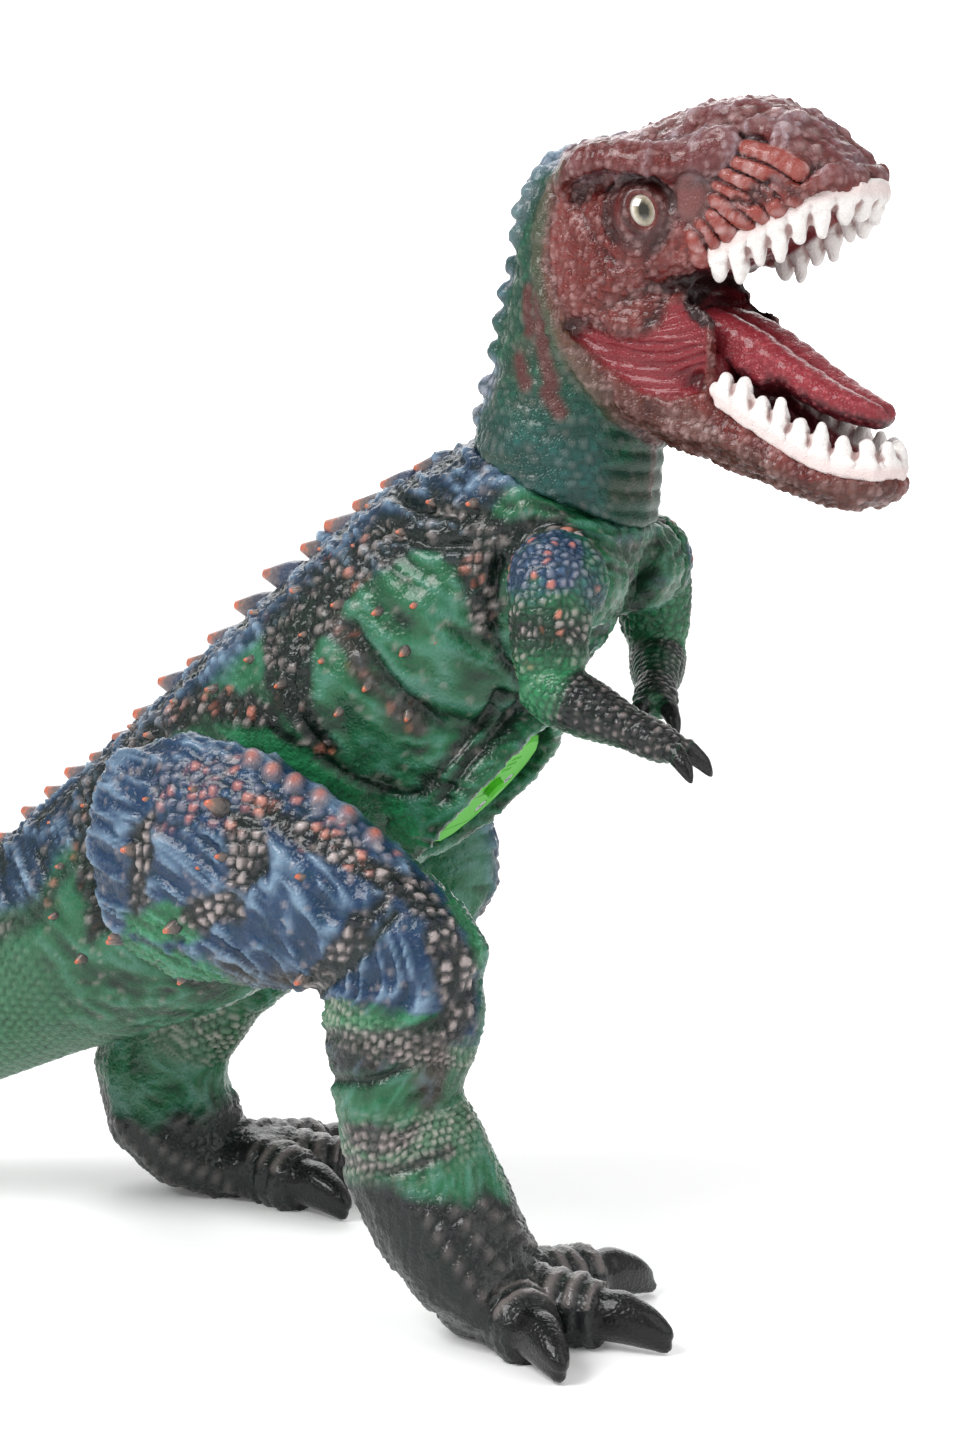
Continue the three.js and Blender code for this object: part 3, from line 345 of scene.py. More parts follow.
# The field of a closed mesh, on a grid that has room for the points in around
def fieldOf(points, around, step, band, **faces):
    grid = openvdb.FloatGrid.createLevelSetFromPolygons(
        points.astype(np.float32),
        transform=openvdb.createLinearTransform(step),
        halfWidth=band / step,
        **faces,
    )
    low = np.floor(around.min(axis=0) / step - band / step - 1).astype(int)
    high = np.ceil(around.max(axis=0) / step + band / step + 1).astype(int)
    values = np.zeros(high - low, dtype=np.float32)
    grid.copyToArray(values, ijk=tuple(int(i) for i in low))
    return Field(low, step, values)


# The corners in mm and the triangles of a CAD node
def trianglesOf(name):
    mesh = frame["nodes"][name].data
    mesh.calc_loop_triangles()
    corners = np.empty(len(mesh.vertices) * 3, dtype=np.float32)
    mesh.vertices.foreach_get("co", corners)
    faces = np.empty(len(mesh.loop_triangles) * 3, dtype=np.int32)
    mesh.loop_triangles.foreach_get("vertices", faces)
    return corners.reshape(-1, 3) / mm - underHips, faces.reshape(-1, 3).astype(np.uint32)


# The lowest and highest corner of a CAD node in mm
def boxOf(name):
    return [np.array(corner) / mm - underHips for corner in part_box(name)]


# The field of one hollow CAD skin, its inside filled. Its plugs only stop up its holes.
def fieldOfSkin(name, plugs, step, band=8):
    points, triangles = trianglesOf(name)
    field = fieldOf(points, points, step, band, triangles=triangles)
    solid = field.values < 0
    for plug in plugs:
        plugPoints, plugTriangles = trianglesOf(plug)
        solid |= fieldOf(plugPoints, points, step, band, triangles=plugTriangles).values < 0
    # a cell is inside where the solid lies beyond it along every axis, both ways
    sheltered = np.ones_like(solid)
    for axis in range(3):
        for way in (1, -1):
            seen = np.flip(solid, axis) if way < 0 else solid
            seen = np.maximum.accumulate(seen, axis)
            sheltered &= np.flip(seen, axis) if way < 0 else seen
    field.values[sheltered & (field.values > 0)] = -band
    points, quads = field.polygons()
    return fieldOf(points, points, step, band, quads=quads[:, ::-1].astype(np.uint32))


# A smooth curve through a few points, as many short steps
def smoothLine(points, spacing):
    points = np.array(points, dtype=float)
    ends = np.concatenate([[2 * points[0] - points[1]], points, [2 * points[-1] - points[-2]]])
    line, stations = [], []
    for i in range(len(points) - 1):
        a, b, c, d = ends[i : i + 4]
        count = max(2, int(np.linalg.norm(c - b) / spacing))
        for t in np.arange(count) / count:
            line.append(0.5 * (2 * b + (c - a) * t + (2 * a - 5 * b + 4 * c - d) * t**2
                               + (3 * b - a - 3 * c + d) * t**3))
            stations.append(i + t)
    line.append(points[-1])
    stations.append(len(points) - 1)
    return np.array(line), np.array(stations)


# How a surface lies round a middle line: length along it, turn round it and distance from it
class Chart:
    def __init__(self, points, reference):
        self.line, self.stations = smoothLine(points, 2)
        self.tangents = unit(np.gradient(self.line, axis=0))
        self.lengths = lengthsOf(self.line)
        self.reference = np.array(reference, dtype=float)

    # The directions of no turn and of a quarter turn
    def axes(self, tangent):
        top = unit(self.reference - (tangent @ self.reference)[:, None] * tangent)
        return top, np.cross(top, tangent)

    def of(self, points, batch=20000):
        nearest = np.empty(len(points), dtype=int)
        for first in range(0, len(points), batch):
            part = points[first : first + batch]
            gaps = (part**2).sum(1)[:, None] - 2 * part @ self.line.T + (self.line**2).sum(1)
            nearest[first : first + batch] = gaps.argmin(1)
        tangent = self.tangents[nearest]
        away = points - self.line[nearest]
        ahead = (away * tangent).sum(1)
        away -= ahead[:, None] * tangent
        top, side = self.axes(tangent)
        turn = np.arctan2((away * side).sum(1), (away * top).sum(1))
        return self.lengths[nearest] + ahead, turn, np.linalg.norm(away, axis=1), self.stations[nearest]

    # The place at a station of the middle line, a turn round it and a distance from it
    def place(self, station, turn, radius):
        top, side = self.axes(unit(between(station, self.stations, self.tangents)))
        out = np.cos(turn)[:, None] * top + np.sin(turn)[:, None] * side
        return between(station, self.stations, self.line) + radius[:, None] * out


# Large odd numbers that scatter neighbouring cells, and the bits of luck that are kept
scatter = {"cells": (73856093, 19349663, 83492791), "seed": 26544357, "again": 1274126177, "kept": 0xFFFFFF}


# Repeatable random numbers from 0 to 1 for whole-number cells
def luckOf(cells, seed):
    mixed = cells @ np.array(scatter["cells"]) + seed * scatter["seed"]
    mixed = (mixed ^ (mixed >> 13)) * scatter["again"]
    return ((mixed ^ (mixed >> 16)) & scatter["kept"]) / scatter["kept"]


# A soft random cloud from -1 to 1 whose lumps are about size mm
def cloud(points, size, seed=1):
    place = points / size
    cells = np.floor(place).astype(np.int64)
    part = place - cells
    shares = part * part * (3 - 2 * part)
    return 2 * blendCells(cells, shares, lambda near: luckOf(near, seed)) - 1


# Pebbled skin: 0 in the grooves and 1 on the pebbles, and each pebble's own random number
def pebbles(points, size, seed=1, groove=0.45):
    place = points / size
    base = np.floor(place).astype(np.int64)
    nearest = np.full(len(points), 9.0)
    second = np.full(len(points), 9.0)
    luck = np.zeros(len(points))
    for corner in np.ndindex(3, 3, 3):
        cell = base + corner - 1
        shifts = np.stack([luckOf(cell, seed + i) for i in range(3)], axis=1)
        gap = np.linalg.norm(cell + 0.15 + 0.7 * shifts - place, axis=1)
        closer = gap < nearest
        second = np.where(closer, nearest, np.minimum(second, gap))
        luck = np.where(closer, luckOf(cell, seed + 7), luck)
        nearest = np.minimum(nearest, gap)
    return np.clip((second - nearest) / groove, 0, 1) ** 0.6, luck


# Rows of beads: rows follow each other along one length, beads along the other
def beads(along, across, rowPitch, beadPitch, seed=1):
    row = np.floor(along / rowPitch)
    shifted = across / beadPitch + 0.5 * (row % 2)
    bead = np.floor(shifted)
    rowPart = 2 * (along / rowPitch - row) - 1
    beadPart = 2 * (shifted - bead) - 1
    height = np.sqrt(np.clip(1 - rowPart**2, 0, 1) * np.clip(1 - beadPart**2, 0, 1))
    cells = np.stack([row, bead, 0 * row], axis=-1).astype(np.int64)
    return height, luckOf(cells, seed)


# Folds side by side: 0 in the creases and 1 on the folds
def folds(length, pitch):
    return np.abs(np.sin(math.pi * length / pitch)) ** 0.6


# Wrinkled skin: thin ridges of 1 between soft hollows of 0, drawn out along the second coordinate
def wrinkles(along, across, size, seed, stretch=2.6):
    place = np.stack([along, across / stretch, 0 * along], axis=1)
    broad = 1 - np.abs(cloud(place, size, seed))
    fine = 1 - np.abs(cloud(place, size / 2, seed + 1))
    return (0.65 * broad + 0.35 * fine) ** 2


# Gaps from points to the straight line between two places
def gapToSpan(points, a, b):
    span = b - a
    away = points - a
    share = np.clip(away @ span / max(span @ span, 1e-9), 0, 1)
    return np.linalg.norm(away - share[:, None] * span, axis=1)


# Gaps in pixels from spots to drawn lines of the photograph
def gapToLines(spots, lines):
    gap = np.full(len(spots), 1e9)
    for line in lines:
        line = smoothLine(line, 12)[0]
        for a, b in zip(line, line[1:]):
            gap = np.minimum(gap, gapToSpan(spots, a, b))
    return gap


# Signed gap from spots to a closed outline, negative inside
def gapToOutline(spots, outline):
    outline = np.array(outline, dtype=float)
    gap = np.full(len(spots), 1e9)
    inside = np.zeros(len(spots), dtype=bool)
    for a, b in zip(outline, np.roll(outline, -1, axis=0)):
        gap = np.minimum(gap, gapToSpan(spots, a, b))
        crosses = (a[1] > spots[:, 1]) != (b[1] > spots[:, 1])
        rise = b[1] - a[1] if b[1] != a[1] else 1e-9
        inside ^= crosses & (spots[:, 0] < a[0] + (spots[:, 1] - a[1]) * (b[0] - a[0]) / rise)
    return np.where(inside, -gap, gap)


# The walk along a line of sight: its start as a share of the camera's distance, the most strides,
# the least stride in mm and the strides that settle it on the surface
sight = {"start": 0.75, "strides": 110, "least": 0.02, "settling": 3}


# Where the photograph's lines of sight meet a field, or pass it nearest
def spotsOn(field, pixels):
    across, down = (np.array(pixels, dtype=float) - photo["targetPixel"]).T / photo["focalPixels"]
    ahead = unit(across[:, None] * photoRight - down[:, None] * photoUp - photoBack)
    place = photoEye + sight["start"] * photo["distance"] * ahead
    best, bestGap = place.copy(), np.full(len(place), 1e9)
    for _ in range(sight["strides"]):
        gap = field.at(place)
        closer = gap < bestGap
        best[closer] = place[closer]
        bestGap = np.minimum(gap, bestGap)
        stride = np.where(bestGap > sight["least"], np.maximum(gap, sight["least"]), 0)
        place = place + stride[:, None] * ahead
    return field.settle(best, sight["settling"])


# A float attribute of a mesh's points, which a material reads as paint
def writeMark(mesh, mark, values):
    layer = mesh.attributes.new(mark, "FLOAT", "POINT")
    layer.data.foreach_set("value", np.array(values, dtype=np.float32))


# A skin that is being made: its points, the way they face, and what is painted on it
class Skin:
    def __init__(self, field):
        self.field = field
        self.points, self.faces = field.polygons()
        self.normals = field.slope(self.points)
        self.height = np.zeros(len(self.points))
        self.marks = {}

    # Distances in mm from the skin's points to lines in space
    def gapTo(self, *lines, reach=14, beyond=99.0):
        gaps = np.full(len(self.points), beyond)
        for line in lines:
            low, high = line.min(axis=0) - reach, line.max(axis=0) + reach
            near = np.flatnonzero(((self.points > low) & (self.points < high)).all(axis=1))
            for a, b in zip(line, line[1:] if len(line) > 1 else line):
                if np.linalg.norm(b - a) < 3 * reach:
                    gaps[near] = np.minimum(gaps[near], gapToSpan(self.points[near], a, b))
        return gaps

    # A painted band along lines, 1 in it and 0 outside, with a soft edge
    def band(self, *lines, width, soft=1.5):
        return ease((width / 2 + soft - self.gapTo(*lines, reach=width + soft + 4)) / (2 * soft))

    # The skin's points as pixels of the photograph, once each is moved to the side that it shows
    def look(self, moved, raggedness=7):
        self.flat = pixelsOf(moved)
        broad, fine = cloud(self.points, 6, 91), cloud(self.points, 2.5, 92)
        self.ragged = raggedness * broad + 0.5 * raggedness * fine

    # Airbrushed lines, 1 in them and 0 outside, with a soft and ragged edge; widths in pixels
    def stroke(self, lines, width, soft=6):
        return ease(0.5 - (gapToLines(self.flat, lines) - width / 2 + self.ragged) / (2 * soft))

    # Airbrushed areas, 1 inside their outlines and 0 outside
    def area(self, *outlines, soft=6):
        gaps = [gapToOutline(self.flat, outline) + self.ragged for outline in outlines]
        return np.maximum.reduce([ease(0.5 - gap / (2 * soft)) for gap in gaps])

    # Fine lines, such as creases, whose width is that of their bell-shaped section
    def crease(self, lines, width):
        return bell(gapToLines(self.flat, lines), width)

    # How hollow the surface is at a scale: above 0 in creases and below 0 on edges
    def hollow(self, radius):
        return -self.field.blurred(radius).at(self.points) / radius

    def finish(self, name, material, slot, body, *nodes):
        points = self.points + self.height[:, None] * self.normals
        points[:, 2] = np.maximum(points[:, 2], 0)
        mesh = bpy.data.meshes.new(name)
        mesh.from_pydata((points + underHips) * mm, [], self.faces)
        mesh.materials.append(material)
        mesh.shade_smooth()
        piece = addObject(name, mesh)
        for mark, values in self.marks.items():
            writeMark(mesh, mark, np.clip(values, 0, 1))
        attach(piece, body)
        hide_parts(*nodes)
        print(name, "has", 2 * len(self.faces), "triangles")


# Noise in lumps per metre, the varnish over the paint, and the skin's fine grain
vinyl = {
    "ragScale": 260,
    "blotchScale": 45,
    "blotchDepth": 0.18,
    "varnish": {"IOR": 1.42, "Specular IOR Level": 0.32, "Coat Weight": 0.3, "Coat Roughness": 0.1},
    "pebbleEdge": 0.35,
    "bump": 0.5,
    "bumpHeight": 0.3,
}


# Painted soft vinyl: airbrushed colours over the moulding, painted shade in the grooves and a gloss
# varnish. Each layer is an attribute, its colour and how ragged the airbrushed edge is.
def paintedVinyl(name, baseColour, layers, roughness=0.33, grain=1.5):
    v = vinyl
    material, tree, shader = startMaterial(name, {"Roughness": roughness, **v["varnish"]})
    place = addNode(tree, "ShaderNodeTexCoord").outputs["Object"]
    rag = addNoise(tree, place, v["ragScale"], 3)
    blotch = addNoise(tree, place, v["blotchScale"], 2)
    mottle = addNode(tree, "ShaderNodeMapRange", {
        "Value": blotch, "To Min": 1 - v["blotchDepth"], "To Max": 1 + v["blotchDepth"]})
    colour = addMix(tree, 1.0, linear(baseColour), mottle, "MULTIPLY")
    for mark, tint, ragged in layers:
        value = addMark(tree, mark)
        edge = addMath(tree, "MULTIPLY_ADD", rag, ragged, -ragged / 2)
        share = addMath(tree, "MULTIPLY_ADD", value, edge, value, use_clamp=True)
        colour = addMix(tree, share, colour, linear(tint))
    cells = addNode(tree, "ShaderNodeTexVoronoi", {"Vector": place, "Scale": 1 / (grain * mm)},
                    feature="DISTANCE_TO_EDGE").outputs["Distance"]
    rounded = addNode(tree, "ShaderNodeMapRange", {"Value": cells, "From Max": v["pebbleEdge"]})
    bump = addNode(tree, "ShaderNodeBump", {
        "Height": rounded, "Strength": v["bump"], "Distance": v["bumpHeight"] * mm})
    feed(shader, {"Base Color": colour, "Normal": bump})
    return material


# Colours of the body and limbs, by what they are painted on or in
paints = {
    "base": "#256b45",
    "light": "#2f8a58",
    "blue": "#1c3a5e",
    "dark": "#121115",
    "brown": "#3a342c",
    # pale pink dry-brushed paint and painted highlights on raised tops
    "drybrushAndHighlights": "#b4a7a4",
    # pale blue dry-brushed paint and painted sheen on raised wrinkles
    "drybrushAndSheen": "#8ba6bb",
    "tips": "#c9623f",
    # painted shade in grooves, hollows and creases
    "grooveShade": "#0c1a15",
    "foot": "#1d1d1f",
    "claw": "#08080a",
}


torso = {
    "step": 1.2,
    "blur": 1.3,
    # the middle of the body and tail, from the neck to the tip
    "spine": [(87.5, 0, 232), (61, 0, 200), (32, 0, 174), (0, 0, 143), (-40, 0, 109), (-86, 0, 83),
              (-151, 0, 45), (-219, 0, 15), (-296, 0, 9)],
    "blueAt": [0, 40, 90, 130, 170, 240, 330, 440],
    "blueReach": [44, 37, 28, 27, 34, 27, 15, 7],
    "darkAreas": [
        [(440, 500), (500, 512), (560, 518), (600, 540), (575, 552), (520, 548), (505, 570), (498, 610),
         (486, 640), (468, 622), (462, 580), (438, 552), (400, 556), (360, 585), (338, 612), (318, 640),
         (312, 680), (322, 715), (345, 752), (322, 752), (290, 728), (262, 690), (262, 640), (290, 596),
         (340, 556), (392, 522)],
        [(235, 690), (262, 700), (312, 745), (290, 750), (250, 728), (205, 716), (168, 736), (132, 775),
         (112, 820), (108, 870), (116, 925), (90, 940), (76, 890), (74, 830), (92, 780), (128, 742),
         (170, 706)],
    ],
    "brownLines": [[(335, 612), (358, 662), (388, 698), (420, 724)]],
    "creases": [
        [(320, 757), (345, 775), (380, 790), (412, 795), (440, 770), (470, 735), (500, 695)],
        [(440, 800), (470, 760), (505, 722), (530, 690)],
        [(300, 640), (292, 680), (300, 715), (325, 752)],
        [(352, 625), (372, 655), (400, 690), (440, 722)],
        [(165, 735), (130, 775), (108, 830), (98, 885), (104, 930)],
        [(180, 748), (148, 790), (128, 840), (118, 890)],
        [(500, 560), (492, 600), (500, 650), (520, 680)],
        [(382, 530), (430, 545), (470, 545)],
        [(400, 500), (440, 512), (480, 515)],
    ],
    "ridges": [
        [(330, 640), (345, 680), (375, 720), (420, 750)],
        [(395, 590), (430, 620), (455, 665), (470, 705)],
        [(300, 655), (303, 690), (320, 722)],
    ],
    "lightArea": [(225, 728), (262, 728), (330, 762), (400, 800), (430, 848), (395, 850), (330, 805),
                  (262, 762)],
    "shoulder": (99, 32, 208),
    # the oval pad that the sound box sits in, and the lip round it
    "boxTilt": 47,
    "boxStandOut": 4,
    "padLength": 25,
    "padWidth": 23,
    "padDepth": 18,
    "padTaper": 0.35,
    "padSoft": 3,
    "lipGap": 3.2,
    "lipWidth": 1.8,
    "lipHeight": 4.5,
    "lipRise": 3,
    "lipSoft": 2,
    "buttonRoom": 5.8,
    "buttonDepth": 9.5,
    # dark squares down the pale front of the chest: half their field's width, its end and their pitch
    "chest": (19, 70, 5.2),
    # lengths along the spine from which the back has a dark border, and the tail its beads
    "borderFrom": 150,
    "tailFrom": 190,
    # rings of folds round the shoulder, from one radius to another
    "rings": (15, 44),
    "brownWidth": 20,
    "creaseWidth": 5,
    "creaseShadeWidth": 7,
    "ridgeWidth": 16,
    "pebbleSize": 3.6,
    "fineSize": 2.5,
    "wrinkleSize": 5,
    "beadPitch": (3.4, 3.8),
    "ringPitch": 4.2,
    "heights": {"stone": 1.35, "bead": 0.5, "rough": 1.1, "fine": 0.45, "blue": 0.9, "ring": 1.1,
                "lightRough": 0.7, "lightFine": 0.5, "crease": 2.2, "ridge": 1.5, "sunk": 0.6},
}


def torsoField():
    t = torso
    field = fieldOfSkin("torso_skin", ["neck_plug", "right_hip_plug", "left_hip_plug"], t["step"])
    field = field.blurred(t["blur"])
    # the pad stays crisp, and its lip stands higher beside the box than before and behind it
    low, high = boxOf("sound_box_bezel")
    tilt = math.radians(t["boxTilt"])
    face = np.array([math.sin(tilt), 0, -math.cos(tilt)])
    along = np.array([math.cos(tilt), 0, math.sin(tilt)])
    slices, places = field.window(low - 20, high + 20)
    away = places - ((low + high) / 2 - t["boxStandOut"] / 2 * face)
    oval = np.sqrt((away @ along / t["padLength"]) ** 2 + (away[..., 1] / t["padWidth"]) ** 2)
    out = away @ face
    floor = -out - t["padDepth"]
    pad = np.maximum((oval - 1) * t["padWidth"] + t["padTaper"] * out, out)
    values = softMin(field.values[slices], np.maximum(pad, floor), t["padSoft"])
    rise = t["lipRise"] * np.clip(np.abs(away[..., 1]) / t["padWidth"], 0, 1) ** 2
    ring = np.abs((oval - 1) * t["padWidth"] - t["lipGap"]) - t["lipWidth"]
    lip = np.maximum(ring, out - t["lipHeight"] - rise)
    field.values[slices] = softMin(values, np.maximum(lip, floor), t["lipSoft"])
    # room for the button's travel, which a solid skin would fill
    low, high = boxOf("roar_button")
    slices, places = field.window(low - 12, high + 12)
    away = places - (low + high) / 2
    room = np.maximum(np.linalg.norm(np.cross(away, face), axis=-1) - t["buttonRoom"],
                      np.abs(away @ face) - t["buttonDepth"])
    field.values[slices] = np.maximum(field.values[slices], -room)
    return field


def makeTorso():
    t = torso
    tall = t["heights"]
    t["field"] = torsoField()
    skin = Skin(t["field"])
    points = skin.points
    skin.look(np.stack([points[:, 0], -np.abs(points[:, 1]), points[:, 2]], axis=1))
    normals = skin.normals.copy()
    normals[:, 1] *= np.where(points[:, 1] > 0, -1, 1)
    toward = ease(normals @ photoBack * 2.5 + 0.6)
    length, turn, radius, _ = Chart(t["spine"], (0, 0, 1)).of(points)
    across = np.abs(turn) * radius
    uneven = cloud(points, 14, 3)
    blueReach = np.interp(length, t["blueAt"], t["blueReach"])
    blue = ease((blueReach + 7 * uneven - across) / 7 + 0.5)
    border = ease(1 - np.abs(across - blueReach - 5 - 5 * uneven) / 6) * (length > t["borderFrom"])
    light = skin.area(t["lightArea"], soft=3) * toward
    dark = skin.area(*t["darkAreas"]) * toward
    dark = np.maximum(dark, border * 0.7) * (1 - light)
    brown = skin.stroke(t["brownLines"], t["brownWidth"]) * toward
    halfWide, chestEnd, pitch = t["chest"]
    chest = ease(np.abs(turn) * 2 - 4.4) * ease((chestEnd - length) / 8)
    chest = chest * ease((halfWide - np.abs(points[:, 1])) / 3)
    square, squareLuck = beads(length, points[:, 1] + 40, pitch, pitch, 51)
    tail = ease((length - t["tailFrom"]) / 40)
    mirrored = np.abs(points - (t["shoulder"][0], 0, t["shoulder"][2]))
    toShoulder = np.linalg.norm(mirrored - (0, t["shoulder"][1], 0), axis=1)
    nearest, farthest = t["rings"]
    rings = ease((farthest - toShoulder) / 14) * ease((toShoulder - nearest) / 3)

    stone, luck = pebbles(points, t["pebbleSize"], 5)
    fine, fineLuck = pebbles(points, t["fineSize"], 8)
    bead, _ = beads(length + 2.5 * uneven, turn * radius + 0.3 * length, *t["beadPitch"], 9)
    rough = wrinkles(length + 0.3 * across, across, t["wrinkleSize"], 13)
    stoneShare = np.clip(dark + 0.4 * brown, 0, 1) * (1 - light)
    beadShare = np.clip(1 - stoneShare - blue, 0, 1) * (1 - light) * tail
    plain = np.clip(1 - stoneShare - beadShare, 0, 1) * (1 - light)
    relief = stoneShare * stone * tall["stone"] + beadShare * bead * tall["bead"]
    relief = relief + plain * (tall["rough"] * rough + tall["fine"] * fine)
    relief += blue * (tall["blue"] * rough + tall["blue"] * bead)
    relief += rings * (folds(toShoulder + uneven, t["ringPitch"]) - 1) * tall["ring"]
    relief += chest * (square - rough) + light * (tall["lightRough"] * rough + tall["lightFine"] * fine)
    relief -= tall["crease"] * skin.crease(t["creases"], t["creaseWidth"]) * toward
    relief += tall["ridge"] * skin.crease(t["ridges"], t["ridgeWidth"]) * toward
    skin.height = relief - tall["sunk"]

    # painted shade: darker in hollows, between the pebbles and beads, in the wrinkles and along the creases
    deep = np.clip(skin.hollow(3) * 4, 0, 1)
    grooveShade = stoneShare * (1 - stone) + beadShare * (1 - bead) * 0.8 + plain * (1 - rough) ** 2
    grooveShade += blue * (1 - bead * rough) ** 2 * 0.4
    grooveShade += light * ((1 - fine) * 0.35 + (1 - rough) ** 2 * 0.6)
    shades = skin.crease(t["creases"], t["creaseShadeWidth"]) * toward
    grooveShade = np.maximum(grooveShade, deep) + shades * 0.8
    # dry-brushed paint and painted highlights on the tops of pebbles and beads
    top = stone**3 * stoneShare
    pink = np.clip(cloud(points, 22, 17) * 1.5 + 0.6, 0, 1)
    drybrushAndHighlights = top**2 * (luck > 0.3) * (0.35 + 0.4 * pink) + fine**3 * (fineLuck > 0.85) * 0.25 * plain
    skin.marks = {
        "blue": blue,
        "light": light * (0.35 + 0.35 * fine),
        "brown": brown,
        "dark": np.maximum(dark * 0.95, 0.8 * chest * (squareLuck > 0.45) * square),
        "grooveShade": np.clip(grooveShade, 0, 0.95),
        # dry-brushed paint and painted sheen on the raised wrinkles of the blue and the green
        "drybrushAndSheen": np.clip(rough * 1.6 - 0.7, 0, 1) * (0.9 * blue * bead + 0.22 * plain),
        "drybrushAndHighlights": drybrushAndHighlights + bead**3 * beadShare * 0.1,
        "tips": top * (luck > 0.82) * pink * 0.8,
    }
    skin.finish("torsoVinyl", bodyVinyl, "body_vinyl", "torso", "torso_skin")


# The body's paint: blue back over green, black bands, painted shade in the grooves, orange knob tops and pale
# dry-brushed paint with painted highlights on raised tops
bodyVinyl = paintedVinyl("paintedBodyVinyl", paints["base"], [
    (mark, paints[mark], ragged)
    for mark, ragged in (("light", 0.2), ("blue", 0.5), ("brown", 0.5), ("dark", 0.5), ("drybrushAndSheen", 0.4),
                         ("grooveShade", 0.2), ("drybrushAndHighlights", 0.15), ("tips", 0.1))
])
makeTorso()


# Legs: the left one takes the right one's drawn lines over, place by place along its own middle line
leg = {
    "step": 0.95,
    "blur": 1.7,
    # middle line from the hip down, height of the dark foot, ball of the foot, and each toe's
    # heading in degrees and reach
    "right": {
        "line": [(-38, -46, 126), (-8, -49, 128), (25, -52, 124), (52, -54, 114), (66, -54, 99),
                 (61, -54, 80), (60, -54, 62), (70, -53, 38), (84, -48, 12)],
        "charcoal": 43,
        "ball": (83.6, -47.5),
        "toes": [(-46, 32), (-2, 33.9), (58, 37.1)],
    },
    "left": {
        "line": [(-28, 45, 150), (-8, 49, 136), (8, 52, 121), (24, 54, 108), (20, 54, 99),
                 (-20, 54, 90), (-48, 54, 72), (-69, 54, 40), (-44, 56, 12)],
        "charcoal": 29,
        "ball": (-43.5, 56.2),
        "toes": [(-24, 32), (14, 33.9), (58, 32)],
    },
    "darkAreas": [
        [(222, 806), (262, 812), (275, 838), (268, 872), (248, 892), (226, 884), (232, 850)],
        [(240, 786), (285, 806), (330, 832), (380, 858), (425, 884), (470, 950), (476, 1010), (462, 1046),
         (440, 1040), (436, 985), (425, 930), (400, 900), (345, 868), (285, 838), (248, 812)],
        [(400, 884), (388, 915), (352, 955), (318, 1000), (290, 1000), (318, 958), (352, 915)],
        [(318, 1034), (350, 1040), (400, 1036), (440, 1030), (430, 1052), (380, 1072), (335, 1074),
         (316, 1056)],
        [(344, 1120), (380, 1126), (416, 1124), (408, 1148), (372, 1156), (350, 1144)],
        [(160, 800), (140, 820), (126, 860), (124, 910), (140, 940), (150, 900), (150, 850)],
        [(186, 896), (240, 890), (244, 915), (205, 932), (182, 920)],
    ],
    "brownAreas": [
        [(420, 1045), (440, 1030), (450, 1055), (446, 1100), (428, 1112), (412, 1090)],
        [(215, 955), (300, 972), (296, 992), (235, 980)],
    ],
    "greenAreas": [
        [(428, 850), (470, 870), (500, 930), (500, 1010), (480, 1030), (474, 960), (448, 900)],
        [(120, 930), (190, 950), (250, 985), (310, 1000), (300, 1030), (150, 1020)],
        [(120, 905), (185, 905), (200, 935), (160, 950), (125, 935)],
        [(310, 1008), (380, 1012), (440, 1012), (440, 1034), (380, 1036), (312, 1030)],
    ],
    "pinkArea": [(150, 762), (215, 752), (300, 790), (400, 850), (400, 880), (330, 862), (262, 830),
                 (222, 824), (160, 830)],
    "folds": [
        [(345, 1108), (380, 1085), (420, 1060), (440, 1040)],
        [(352, 1122), (392, 1100), (430, 1078)],
        [(318, 1080), (340, 1092), (360, 1085), (395, 1062)],
    ],
    "creases": [
        [(318, 1032), (360, 1038), (400, 1034), (440, 1022)],
        [(330, 1078), (370, 1080), (415, 1062)],
        [(345, 1160), (395, 1170), (450, 1150)],
        [(300, 1000), (350, 965), (395, 915)],
    ],
    "scuteRows": [
        [(470, 1192), (500, 1222), (548, 1256)],
        [(448, 1200), (480, 1245), (518, 1290)],
        [(425, 1212), (455, 1262), (492, 1308)],
    ],
    # big knobs over the thigh, and their radius in pixels
    "knobs": [(253, 760), (272, 773), (294, 784), (319, 799), (347, 815), (373, 838)],
    "knobRadius": 11.5,
    "ankleSoftness": 9,
    "toeHalfWidth": 10.5,
    "toeTop": 26,
    "toeRoot": 0.3,
    "clawRoot": 0.97,
    # share of the toe's reach, radius and height
    "toeBalls": [(0.4, 8.6, 11), (0.52, 8.6, 10.5), (0.64, 8.6, 10), (0.76, 8.4, 9.5), (0.88, 8, 8.8),
                 (0.99, 6.4, 8.5), (1.08, 6.2, 8.2), (1.17, 5.7, 7.6), (1.26, 5.1, 6.8), (1.35, 4.4, 5.8),
                 (1.43, 3.6, 4.7), (1.5, 2.7, 3.5), (1.55, 2, 2.6)],
    # stations of the middle line with rows of beads round them, and how far those reach
    "knee": (4.75, 0.45),
    "shin": (6.3, 0.6),
    "thighEnd": 4.6,
    "foldWidth": 11,
    "creaseWidth": 5,
    "creaseShadeWidth": 6,
    "scuteWidth": 9,
    "pebbleSize": 3.4,
    "smallSize": 2.4,
    "wrinkleSize": 4.6,
    "toeWrinkleSize": 6,
    "beadPitch": (2.6, 2.7),
    "scutePitch": 6,
    "heights": {"stone": 1.25, "bead": 1.1, "small": 0.5, "rough": 0.6, "blueRough": 1.9, "green": 0.7,
                "fold": 1.4, "crease": 1.8, "row": 1.3, "scute": 1.3, "foot": 0.8, "knob": 3.2,
                "sunk": 0.6},
}


